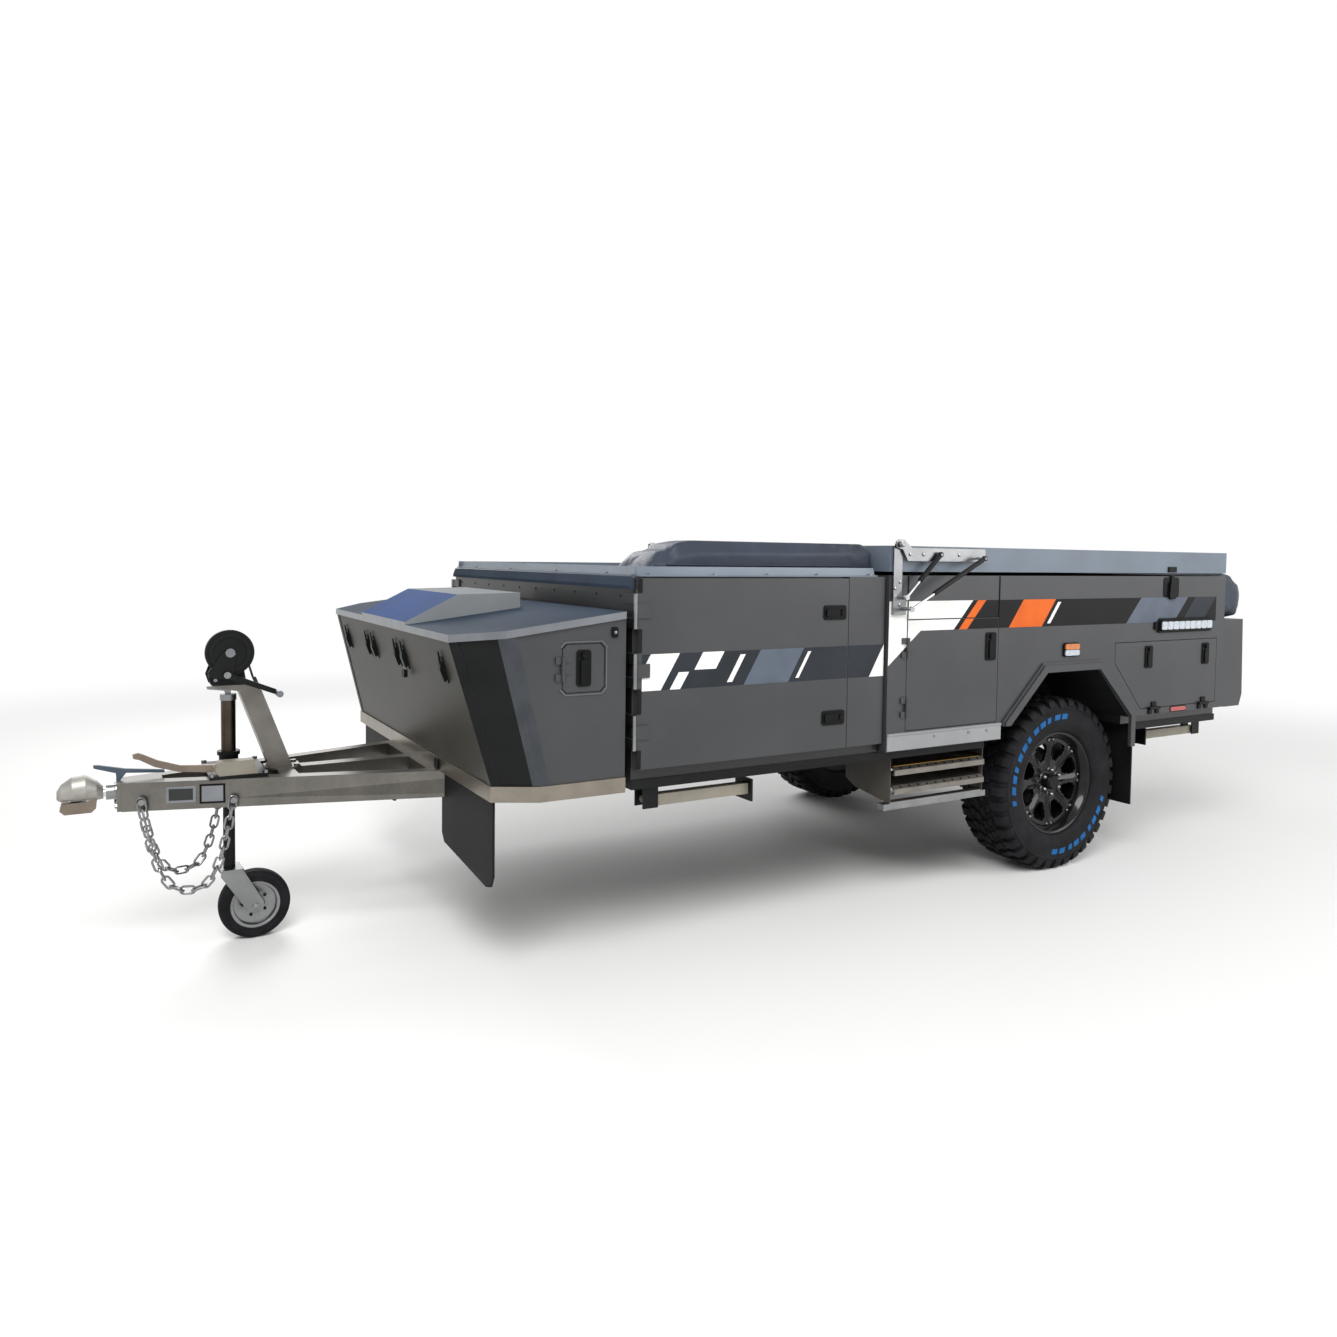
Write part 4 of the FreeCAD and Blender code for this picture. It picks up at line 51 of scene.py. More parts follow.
def linear(code):
    """sRGB hex code as linear red, green, blue and alpha."""
    parts = [int(code[k:k + 2], 16) / 255 for k in (1, 3, 5)]
    return (*[c / 12.92 if c <= 0.04045 else ((c + 0.055) / 1.055) ** 2.4 for c in parts], 1)


def node(tree, kind, settings=None, **links):
    """Adds a node, sets its properties and sockets, and links what is itself a socket."""
    made = tree.nodes.new("ShaderNode" + kind)
    for name, value in (settings or {}).items():
        setattr(made, name, value)
    for name, value in links.items():
        key = int(name[1:]) if name[0] == "i" and name[1:].isdigit() else name.replace("_", " ")
        socket = made.inputs[key]
        if isinstance(value, bpy.types.NodeSocket):
            tree.links.new(value, socket)
        else:
            socket.default_value = value
    return made


def material(name):
    """A material with its node tree, its surface shader, and the position on the object in metres."""
    mat = bpy.data.materials.new(name)
    mat.use_nodes = True
    tree = mat.node_tree
    tree.nodes.clear()
    shader = node(tree, "BsdfPrincipled")
    out = node(tree, "OutputMaterial")
    tree.links.new(shader.outputs["BSDF"], out.inputs["Surface"])
    return mat, tree, shader, node(tree, "TexCoord").outputs["Object"]


def preset(shader, **sockets):
    """Sets numbers on the shader's own sockets."""
    for name, value in sockets.items():
        shader.inputs[name.replace("_", " ")].default_value = value


def relief(tree, shader, height, distance, strength=1.0):
    """Bump drawn from a height."""
    bump = node(tree, "Bump", Strength=strength, Distance=distance, Height=height)
    tree.links.new(bump.outputs["Normal"], shader.inputs["Normal"])


def shades(tree, shader, factor, light, dark, low=0.35):
    """Colour that goes from dark to light as a factor goes from low to 0.65."""
    ramp = node(tree, "ValToRGB", Fac=factor)
    for stop, place, code in zip(ramp.color_ramp.elements, (low, 0.65), (dark, light)):
        stop.position, stop.color = place, linear(code)
    tree.links.new(ramp.outputs["Color"], shader.inputs["Base Color"])


def tint(tree, shader, where, light, dark, scale, detail=4):
    """Colour that drifts between two shades over patches of 1/scale metres."""
    noise = node(tree, "TexNoise", Vector=where, Scale=scale, Detail=detail)
    shades(tree, shader, noise.outputs["Fac"], light, dark)


def grain(tree, shader, where, scale, height, rough, detail=3):
    """Fine bump of 1/scale metres, and roughness that follows it."""
    noise = node(tree, "TexNoise", Vector=where, Scale=scale, Detail=detail)
    relief(tree, shader, noise.outputs["Fac"], height)
    spread = node(tree, "MapRange", Value=noise.outputs["Fac"], To_Min=rough[0], To_Max=rough[1])
    tree.links.new(spread.outputs["Result"], shader.inputs["Roughness"])


def skinned(name, light, dark, patch, scale, height, rough, drift=4, fine=3, **sockets):
    """Material whose colour drifts over 1/patch metres and whose grain is 1/scale metres."""
    mat, tree, shader, where = material(name)
    tint(tree, shader, where, light, dark, patch, drift)
    grain(tree, shader, where, scale, height, rough, fine)
    preset(shader, **sockets)
    return mat


def two_pack_paint(name, light, dark, rough=(0.34, 0.46), coat=0.15, gloss=0.4):
    """Two-pack paint sprayed on aluminium composite: satin, with a fine orange peel of about 1.5 mm."""
    return skinned(name, light, dark, 3.0, 650, 0.00004, rough, Coat_Weight=coat, Coat_Roughness=0.12,
                   Specular_IOR_Level=gloss)


def dull_paint(name, light, dark, rough=(0.5, 0.6), gloss=0.01):
    """The same paint without a clear coat, nearly free of reflections."""
    return two_pack_paint(name, light, dark, rough, 0.0, gloss)


def hot_dip_zinc(name, light, dark):
    """Hot-dip galvanised steel: smooth warm grey with faint spangles of about 15 mm and dull patches."""
    mat, tree, shader, where = material(name)
    cells = node(tree, "TexVoronoi", Vector=where, Scale=65)
    noise = node(tree, "TexNoise", Vector=where, Scale=9, Detail=5)
    blend = node(tree, "Mix", {"data_type": "FLOAT"}, Factor=0.85, i2=cells.outputs["Distance"],
                 i3=noise.outputs["Fac"])
    shades(tree, shader, blend.outputs[0], light, dark, 0.3)
    grain(tree, shader, where, 160, 0.00003, (0.24, 0.38))
    preset(shader, Metallic=0.9)
    return mat


def powder_coat(name, light, dark, rough=(0.34, 0.46)):
    """Powder coat on steel: satin, with a leathery skin of about 2 mm."""
    return skinned(name, light, dark, 6, 500, 0.00006, rough, Specular_IOR_Level=0.16)


def wheel_paint(name):
    """Gloss black lacquer on a cast wheel: deep and wet-looking, with a faint flow of about 3 mm."""
    return skinned(name, "#111113", "#0a0a0c", 8, 330, 0.00003, (0.18, 0.26), Specular_IOR_Level=0.15,
                   Coat_Weight=0.3, Coat_Roughness=0.05)


def tyre_rubber(name):
    """Moulded tyre rubber: near black, dusty in patches, matt with a soft sheen."""
    return skinned(name, "#1e1e21", "#121214", 14, 320, 0.0002, (0.55, 0.72), 6, 6, Specular_IOR_Level=0.12)


def rubber_sheet(name):
    """Cut rubber sheet: black, matt, with a faint calendered grain of 3 mm."""
    return skinned(name, "#151516", "#0e0e0f", 5, 330, 0.00012, (0.5, 0.66), Specular_IOR_Level=0.15)


def polished_chrome(name):
    """Chrome plate on tube: mirror bright with faint rubbed patches."""
    return skinned(name, "#d9dadb", "#b9babc", 30, 90, 0.00002, (0.08, 0.2), Metallic=1.0)


def brushed_metal(name, light, dark, rough=(0.22, 0.38)):
    """Plated or rolled metal on small parts: bright, slightly brushed at about 1.5 mm."""
    return skinned(name, light, dark, 12, 700, 0.00002, rough, Metallic=1.0)


def cast_steel(name, light, dark):
    """Cast and zinc-flaked steel: pale, with a sandy skin of about 3 mm."""
    return skinned(name, light, dark, 25, 350, 0.00018, (0.38, 0.55), 6, 5, Metallic=0.75)


def coated_canvas(name, light, dark):
    """Polyester canvas with a vinyl coat: soft gloss, a weave of about 1.5 mm drawn at 3 mm."""
    mat, tree, shader, where = material(name)
    tint(tree, shader, where, light, dark, 5, 5)
    warp, weft = [node(tree, "TexWave", {"bands_direction": way}, Vector=where, Scale=105,
                       Distortion=0.4) for way in ("X", "DIAGONAL")]
    both = node(tree, "Math", {"operation": "MULTIPLY"}, i0=warp.outputs["Fac"],
                i1=weft.outputs["Fac"])
    creases = node(tree, "TexNoise", Vector=where, Scale=14, Detail=3)
    added = node(tree, "Math", {"operation": "MULTIPLY_ADD"}, i0=creases.outputs["Fac"], i1=12.0,
                 i2=both.outputs["Value"])
    relief(tree, shader, added.outputs["Value"], 0.00025)
    preset(shader, Roughness=0.42, Specular_IOR_Level=0.25)
    return mat


def webbing(name, light, dark):
    """Woven polyester webbing: ribs across it about 2 mm apart, dull sheen."""
    mat, tree, shader, where = material(name)
    tint(tree, shader, where, light, dark, 40)
    ribs = node(tree, "TexWave", {"bands_direction": "Z"}, Vector=where, Scale=160, Distortion=0.3)
    relief(tree, shader, ribs.outputs["Fac"], 0.0003)
    preset(shader, Roughness=0.7, Sheen_Weight=0.3)
    return mat


def moulded_plastic(name, light, dark, rough=0.45):
    """Injection-moulded plastic with a fine spark-eroded skin of about 1 mm."""
    return skinned(name, light, dark, 20, 900, 0.00004, (rough - 0.05, rough + 0.05), Specular_IOR_Level=0.12)


def printed_vinyl(name, light, dark):
    """Cast vinyl film laid on paint: even colour, soft gloss, a slight ripple of about 8 mm."""
    return skinned(name, light, dark, 7, 120, 0.00003, (0.4, 0.5), Specular_IOR_Level=0.15)


def lamp_lens(name, light, dark):
    """Moulded acrylic lens over a ribbed reflector: clear coat, ribs 6 mm apart."""
    mat, tree, shader, where = material(name)
    tint(tree, shader, where, light, dark, 90)
    ribs = node(tree, "TexWave", {"bands_direction": "X"}, Vector=where, Scale=52)
    relief(tree, shader, ribs.outputs["Fac"], 0.0008, 0.6)
    preset(shader, Roughness=0.12, Coat_Weight=1.0)
    return mat


paint = two_pack_paint("charcoal_two_pack_paint", "#363739", "#303133")
dark_paint = two_pack_paint("dark_bulkhead_paint", "#18191a", "#131415")
lid_paint = two_pack_paint("slate_two_pack_paint", "#65707c", "#5b6571")
olive_gloss = dull_paint("olive_grey_gloss_paint", "#33312a", "#2b2a23", (0.4, 0.5), 0.25)
night_blue = dull_paint("dark_blue_paint", "#2c4676", "#253c66")
pale_grey = dull_paint("pale_grey_paint", "#84888b", "#7a7e81")
box_slate = dull_paint("dark_slate_paint", "#38424f", "#303945")
plate_grey = two_pack_paint("light_grey_plate_paint", "#8d8f90", "#808284")
frame_grey = two_pack_paint("mid_grey_frame_paint", "#54565a", "#4d4f53")
step_brown = powder_coat("brown_grey_powder_coat", "#4a4641", "#3d3a36")
zinc = hot_dip_zinc("hot_dip_zinc", "#716e69", "#62605b")
# Darker copy of the zinc: painted shade, for the parts that lie under the bodies and for the undersides of
# rails.
shaded_zinc = hot_dip_zinc("painted_shade_zinc", "#605d59", "#504e4a")
champagne = brushed_metal("champagne_anodised_tube", "#8d867b", "#807a6f", (0.28, 0.38))
black_coat = powder_coat("black_powder_coat", "#131415", "#0d0e0f")
wheel_lacquer = wheel_paint("gloss_black_wheel_lacquer")
tyre_mat = tyre_rubber("tyre_rubber")
blue_rubber = moulded_plastic("blue_tyre_flash", "#1d619c", "#185388", 0.5)
sheet_rubber = rubber_sheet("rubber_sheet")
chrome = polished_chrome("chrome_plate")
plated = brushed_metal("bright_zinc_plate", "#8d8e8f", "#818283")
silver = brushed_metal("silver_anodised_strip", "#83868a", "#797c80", (0.28, 0.36))
gold = brushed_metal("yellow_passivated_zinc", "#b99549", "#ae8a40")
bronze = brushed_metal("bronze_plated_steel", "#81756a", "#746960", (0.3, 0.42))
tube_bronze = brushed_metal("dark_bronze_tube", "#4f463d", "#433b33", (0.24, 0.34))
tread_metal = brushed_metal("tread_plate_metal", "#85817b", "#77736d", (0.34, 0.46))
strip_grey = brushed_metal("grey_anodised_strip", "#4b4e52", "#434649", (0.32, 0.42))
beige = powder_coat("beige_grey_powder_coat", "#8d877b", "#7f7a6f", (0.3, 0.42))
post_grey = brushed_metal("post_grey_zinc", "#77746f", "#6b6863", (0.3, 0.42))
lever_blue = powder_coat("grey_blue_powder_coat", "#4d5966", "#434e5a")
cast_grey = cast_steel("cast_steel", "#a3a19b", "#95938d")
canvas = coated_canvas("coated_canvas", "#2e3643", "#252c37")
black_webbing = webbing("black_webbing", "#202125", "#151619")
plastic = moulded_plastic("black_plastic", "#0d0e0f", "#08090a")
vinyl_black = printed_vinyl("black_vinyl_film", "#0b0b0c", "#070708")
vinyl_white = printed_vinyl("white_vinyl_film", "#e6e6e3", "#dcdcd9")
vinyl_orange = printed_vinyl("orange_vinyl_film", "#d2611f", "#c4581b")
vinyl_slate = printed_vinyl("slate_vinyl_film", "#59616d", "#4f5762")
vinyl_dusk = printed_vinyl("dark_slate_vinyl_film", "#2a2e34", "#24282d")
clear_lens = lamp_lens("clear_lens", "#bcc2c9", "#a4abb3")
orange_lens = lamp_lens("orange_lens", "#c9701c", "#b45f12")
red_lens = lamp_lens("red_lens", "#b3221c", "#941712")


# Finishes of the nodes that stay as the source makes them

def dress(name, base, *zones):
    """Finishes of a CAD node: its base, and others on the faces that a zone's test picks.

    A test gets the station, side distance and height of a face's middle and its outward direction."""
    mesh = nodes[name].data
    mesh.materials.clear()
    finishes = list(dict.fromkeys([base] + [finish for finish, test in zones]))
    for finish in finishes:
        mesh.materials.append(finish)
    for face in mesh.polygons:
        middle, n = face.center, face.normal
        side = 1 if middle.y > 0 else -1
        for finish, test in zones:
            if test(middle.x - AXLE, abs(middle.y), middle.z, Vector((n.x, n.y * side, n.z))):
                face.material_index = finishes.index(finish)
                break


def soften(made, width):
    """Rounds the sharp edges of a piece so that they catch the light."""
    edge = made.modifiers.new("edge", "BEVEL")
    edge.width = width
    edge.segments = 2
    edge.limit_method = "ANGLE"
    edge.angle_limit = radians(40)
    edge.harden_normals = True


def on_corner_strip(x, y, z, n):
    """Whether a face belongs to the grey strips on the corners of the front box."""
    if x < 2.55 or abs(n.z) > 0.6 or n.x > 0.9:
        return False
    if n.y > 0.95:
        return y > 0.9605 and x > 2.575
    nose = 0.884 - 0.071 * (z - 0.68) / 0.56  # half width of the box's front face at this height
    return (y - nose) / (BOX_FACE - nose) > 0.835


dress("box_shell", paint, (strip_grey, on_corner_strip),
      (olive_gloss, lambda x, y, z, n: n.x > 0.9 and x > 2.7),
      (black_coat, lambda x, y, z, n: x > 2.6 and y > 0.8 and 0.3 < n.x < 0.9),
      (plated, lambda x, y, z, n: x < 2.318))
dress("box_lid", box_slate,
      (night_blue, lambda x, y, z, n: x > 2.7 and y < 0.3295 and 0.8 < n.z < 0.95),
      (pale_grey, lambda x, y, z, n: y < 0.3305 and x > 2.45 and z > 1.2 and n.z > -0.5),
      (silver, lambda x, y, z, n: abs(n.z) < 0.5 and (y > 0.82 or x > 2.87)))
for hatch in ("box_hatch_near", "box_hatch_far"):
    dress(hatch, paint, (plastic, lambda x, y, z, n: y > 0.9595 and x < 2.51))
dress("front_body", paint,
      (box_slate, lambda x, y, z, n: x > 2.2865 and y < 0.952 and z > 1.30),
      (plated, lambda x, y, z, n: y > 0.969),
      (dark_paint, lambda x, y, z, n: (x > 2.28 and n.x > 0.5) or z < 0.702))
for door in ("front_door_near", "front_door_far"):
    dress(door, paint, (plated, lambda x, y, z, n: y > 0.9685 and x > 2.284),
          (plastic, lambda x, y, z, n: y > 0.9685 and x < 1.6))
dress("rear_body", paint,
      (plate_grey, lambda x, y, z, n: y > 0.9835 and z < 0.741 and x > 0.49),
      (plastic, lambda x, y, z, n: y > 0.9835 and x < 0),
      (sheet_rubber, lambda x, y, z, n: -0.405 < x < 0.47 and z < 0.945 and y < 0.982 and n.y > -0.9))
dress("entry_door", paint, (plastic, lambda x, y, z, n: y > 0.984 and x < 0.7))
for hatch in ("rear_hatch_near", "rear_hatch_far"):
    dress(hatch, paint, (plastic, lambda x, y, z, n: y > 0.984))
dress("lid", lid_paint, (plastic, lambda x, y, z, n: y > 0.9835))
dress("coupling_head", cast_grey,
      (bronze, lambda x, y, z, n: z < 0.5685),
      (chrome, lambda x, y, z, n: x < 3.851))
dress("coupling_socket", zinc,
      (lever_blue, lambda x, y, z, n: z > 0.632),
      (plated, lambda x, y, z, n: x > 3.8125))
dress("handbrake", beige, (bronze, lambda x, y, z, n: x > 3.513))
dress("jockey_tube", tube_bronze,
      (black_coat, lambda x, y, z, n: z < 0.7045),
      (plated, lambda x, y, z, n: z > 0.8905))
dress("winch", black_coat,
      (silver, lambda x, y, z, n: 0.0663 < y < 0.0785 and max(abs(z - 1.068), abs(x - 3.452)) < 0.0165),
      (silver, lambda x, y, z, n: x < 3.31 and y > 0.0945),
      (plated, lambda x, y, z, n: 0.0945 < y < 0.0965))
# Behind station 2.9, under the box, the drawbar takes the darker zinc as painted shade.
dress("drawbar", zinc, (plated, lambda x, y, z, n: x > 3.4 and y > 0.06 and abs(n.y) > 0.97),
      (shaded_zinc, lambda x, y, z, n: x < 2.9))
# Downward faces of the box rail take the darker zinc as painted shade.
dress("box_rail", champagne, (shaded_zinc, lambda x, y, z, n: n.z < -0.5))
# The chassis frame is darker zinc as painted shade under the bodies; its top faces above 0.6 m are black
# powder coat as painted shade in the gap under the body sides.
dress("chassis_frame", shaded_zinc, (black_coat, lambda x, y, z, n: z > 0.6))
dress("step_frame", step_brown, (plated, lambda x, y, z, n: z < 0.4335))
for leg in ("leg_front_near", "leg_front_far", "leg_rear_near", "leg_rear_far"):
    dress(leg, beige, (black_coat, lambda x, y, z, n: z < 0.554 or z > 0.596 or abs(x - 1.774) < 0.008
                       or abs(x + 0.634) < 0.008))
for finish, names in (
        (black_coat, "jockey_stem box_latches hub_near hub_far trailing_arms leg_mounts strut_a_tubes"),
        (black_coat, "strut_b_tubes"), (plated, "jockey_fork lid_arms hinge_posts"),
        (post_grey, "winch_post"), (black_webbing, "winch_strap"),
        (sheet_rubber, "stone_flaps mud_flaps"), (lid_paint, "top_rails"), (tread_metal, "step_treads"),
        (paint, "rear_box arch_flares"),
        (plastic, "water_tank"), (chrome, "strut_a_rods strut_b_rods")):
    for name in names.split():
        dress(name, finish)
for width, names in (
        (0.001, "step_frame"),
        (0.0015, "jockey_fork box_latches lid_arms hinge_posts step_treads"),
        (0.002, "front_door_near front_door_far entry_door rear_hatch_near rear_hatch_far arch_flares winch"),
        (0.002, "winch_post coupling_socket"),
        (0.003, "box_shell front_body rear_body handbrake coupling_head hub_near hub_far"),
        (0.004, "box_lid drawbar chassis_frame box_rail trailing_arms"),
        (0.005, "lid"),
        (0.008, "rear_box")):
    for name in names.split():
        soften(nodes[name], width)


# Drawing tools

def from_front(y, z, x):
    """Point drawn as seen from the front, at a station."""
    return x, y, z


def from_above(x, y, z):
    """Point drawn as seen from above, at a height."""
    return x, y, z


def side_face(side, face):
    """Places what is drawn on a side face: station, height, and how far out of the face."""
    return lambda x, z, out: (x, side * (face + out), z)


def plate(shape, place, outline, low, high, mat=0):
    """Plate with a flat outline, thick from low to high; place puts its points on the trailer."""
    rows = [[shape.verts.new(place(u, v, w)) for u, v in outline] for w in (low, high)]
    rows_of_faces(shape, rows, mat, cap=True)


def mirrored(half):
    """Whole profile from the half on one side of the middle."""
    return half + [(-along, radius) for along, radius in reversed(half)]


def rect(u0, u1, v0, v1):
    return [(u0, v0), (u1, v0), (u1, v1), (u0, v1)]


def clipped(u0, u1, v0, v1, c):
    """Rectangle with its corners cut off."""
    return [(u0 + c, v0), (u1 - c, v0), (u1, v0 + c), (u1, v1 - c), (u1 - c, v1), (u0 + c, v1), (u0, v1 - c),
            (u0, v0 + c)]


def rows_of_faces(shape, rows, mat, loop=False, cap=False):
    """Skins rows of points, each row closed on itself; a row of one point is a tip."""
    pairs = list(zip(rows, rows[1:])) + ([(rows[-1], rows[0])] if loop else [])
    for low, high in pairs:
        count = max(len(low), len(high))
        for k in range(count):
            n = (k + 1) % count
            quad = [low[k % len(low)], low[n % len(low)], high[n % len(high)], high[k % len(high)]]
            corners = list(dict.fromkeys(quad))
            if len(corners) > 2:
                shape.faces.new(corners).material_index = mat
    if cap:
        for row in (rows[0], rows[-1]):
            if len(row) > 2:
                shape.faces.new(row).material_index = mat


def ring(shape, spot, radius, side, other, sides):
    """Circle of points round a spot."""
    return [shape.verts.new(spot + radius * (cos(tau * k / sides) * side + sin(tau * k / sides) * other))
            for k in range(sides)]


def turned(shape, origin, axis, profile, mat=0, sides=24, loop=False):
    """Turned form: a profile of (distance along the axis, radius)."""
    axis = Vector(axis).normalized()
    side = Vector((1, 0, 0)) if abs(axis.x) < 0.9 else Vector((0, 1, 0))
    side = (side - axis * side.dot(axis)).normalized()
    other = axis.cross(side)
    rows = [ring(shape, Vector(origin) + axis * along, radius, side, other, sides if radius > 1e-6 else 1)
            for along, radius in profile]
    rows_of_faces(shape, rows, mat, loop, not loop)


def bolt(shape, foot, axis, radius, height, mat=0, sides=6):
    """Bolt or rivet head with a chamfered crown that stands out along an axis."""
    turned(shape, foot, axis, [(-0.001, radius), (height * 0.7, radius), (height, radius * 0.75)], mat, sides)


def bar(shape, points, radius, mat=0, sides=10, loop=False):
    """Round bar bent along points."""
    points = [Vector(p) for p in points]
    count = len(points)
    rows = []
    up = None
    for k, spot in enumerate(points):
        before = points[k - 1] if loop or k else spot
        after = points[(k + 1) % count] if loop or k < count - 1 else spot
        ahead = (after - before).normalized()
        up = up or ahead.orthogonal()
        up = (up - ahead * up.dot(ahead)).normalized()
        rows.append(ring(shape, spot, radius, up, ahead.cross(up), sides))
    rows_of_faces(shape, rows, mat, loop, not loop)


def piece(name, body, shape, finishes, edge=0.0, smooth=35, replaces=()):
    """Turns what was drawn at stations from the axle into a piece that rides on a body."""
    bmesh.ops.recalc_face_normals(shape, faces=shape.faces)
    mesh = bpy.data.meshes.new(name)
    shape.to_mesh(mesh)
    shape.free()
    mesh.transform(Matrix.Translation((AXLE, 0, 0)))
    for finish in finishes:
        mesh.materials.append(finish)
    mesh.polygons.foreach_set("use_smooth", [True] * len(mesh.polygons))
    mesh.set_sharp_from_angle(angle=radians(smooth))
    made = bpy.data.objects.new(name, mesh)
    scene.collection.objects.link(made)
    if edge:
        soften(made, edge)
    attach(made, body)
    if replaces:
        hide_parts(*replaces)
    return made


# Road wheels

TYRE_R, TRACK_HALF = 0.4015, 0.775
PITCHES = 36  # tread pitches round the tyre, about 70 mm each


def wheel_point(side, angle, radius, out):
    """Point on a road wheel: angle from forward over the top, and distance out from its middle."""
    return Vector((radius * cos(angle), side * (TRACK_HALF + out), TYRE_R + radius * sin(angle)))


def lug(shape, side, section, start, end, lean=0.0):
    """Tread lug: a section of (radius, out) swept round a short arc; its flanks lean and close upwards."""
    rows = []
    for angle, sign in ((start, 1), (end, -1)):
        row = []
        for radius, out in section:
            rise = max(0.0, radius - 0.383) / 0.02
            shift = lean * (out - section[0][1]) / 0.06 + sign * 0.006 * rise
            row.append(shape.verts.new(wheel_point(side, angle + shift, radius, out)))
        rows.append(row)
    rows_of_faces(shape, rows, 0, cap=True)


def road_tyre(name, side):
    """Mud-terrain tyre: carcass with sidewall rings, shoulder lugs, centre blocks and blue flashes."""
    shape = bmesh.new()
    half = [(0.2335, 0.1015), (0.2407, 0.1034), (0.2410, 0.1105), (0.249, 0.1185), (0.2535, 0.1215),
            (0.2575, 0.1215), (0.262, 0.1240), (0.285, 0.1295), (0.318, 0.1315), (0.338, 0.1305),
            (0.345, 0.1297), (0.3475, 0.1310), (0.3515, 0.1308), (0.354, 0.1285), (0.366, 0.1240),
            (0.378, 0.1150), (0.3845, 0.1010), (0.3870, 0.0700), (0.3880, 0.0300)]
    profile = mirrored([(out, radius) for radius, out in half])
    turned(shape, (0, side * TRACK_HALF, TYRE_R), (0, side, 0), profile, sides=108, loop=True)
    pitch = tau / PITCHES
    for k in range(PITCHES):
        turn = k * pitch
        for hand in (1, -1):
            long = (k + (hand < 0)) % 2
            inner, foot = (0.062, 0.352) if long else (0.074, 0.361)
            out = hand * (0.1318 if long else 0.1290)
            section = [(foot, hand * 0.1255), (foot + 0.004, out), (0.372, out - hand * 0.0010),
                       (0.391, hand * 0.1215), (0.4000, hand * 0.1080), (0.4005, hand * inner),
                       (0.385, hand * (inner - 0.003)), (0.376, hand * 0.1120)]
            lug(shape, side, section, turn - 0.30 * pitch, turn + 0.30 * pitch)
        for hand in (1, -1):
            shift = (0.5 if hand > 0 else 0.0) * pitch
            for low, high, offset, wide in ((0.034, 0.060, 0.16, 0.27), (0.004, 0.030, -0.12, 0.30)):
                section = [(0.386, hand * low), (0.4013, hand * (low + 0.001)),
                           (0.4010, hand * (high - 0.001)), (0.386, hand * high)]
                middle = turn + shift + offset * pitch
                lug(shape, side, section, middle - wide * pitch, middle + wide * pitch, lean=hand * 0.05)
    for first, last, count in ((-13, 98, 12), (196, 281, 9)):
        step = (last - first) / count
        for k in range(count):
            start = radians(first + k * step)
            end = radians(first + (k + (0.70 if k % 3 else 0.45)) * step)
            rows = []
            angles = (start, (start + end) / 2, end)
            for out in (0.1302, 0.1327):
                low = [wheel_point(side, angle, 0.304, out) for angle in angles]
                high = [wheel_point(side, angle + 0.02, 0.328, out - 0.0006) for angle in angles[::-1]]
                rows.append([shape.verts.new(p) for p in low + high])
            rows_of_faces(shape, rows, 1, cap=True)
    piece("mud_" + name, name.replace("tyre", "wheel"), shape, (tyre_mat, blue_rubber), smooth=38,
          replaces=(name,))


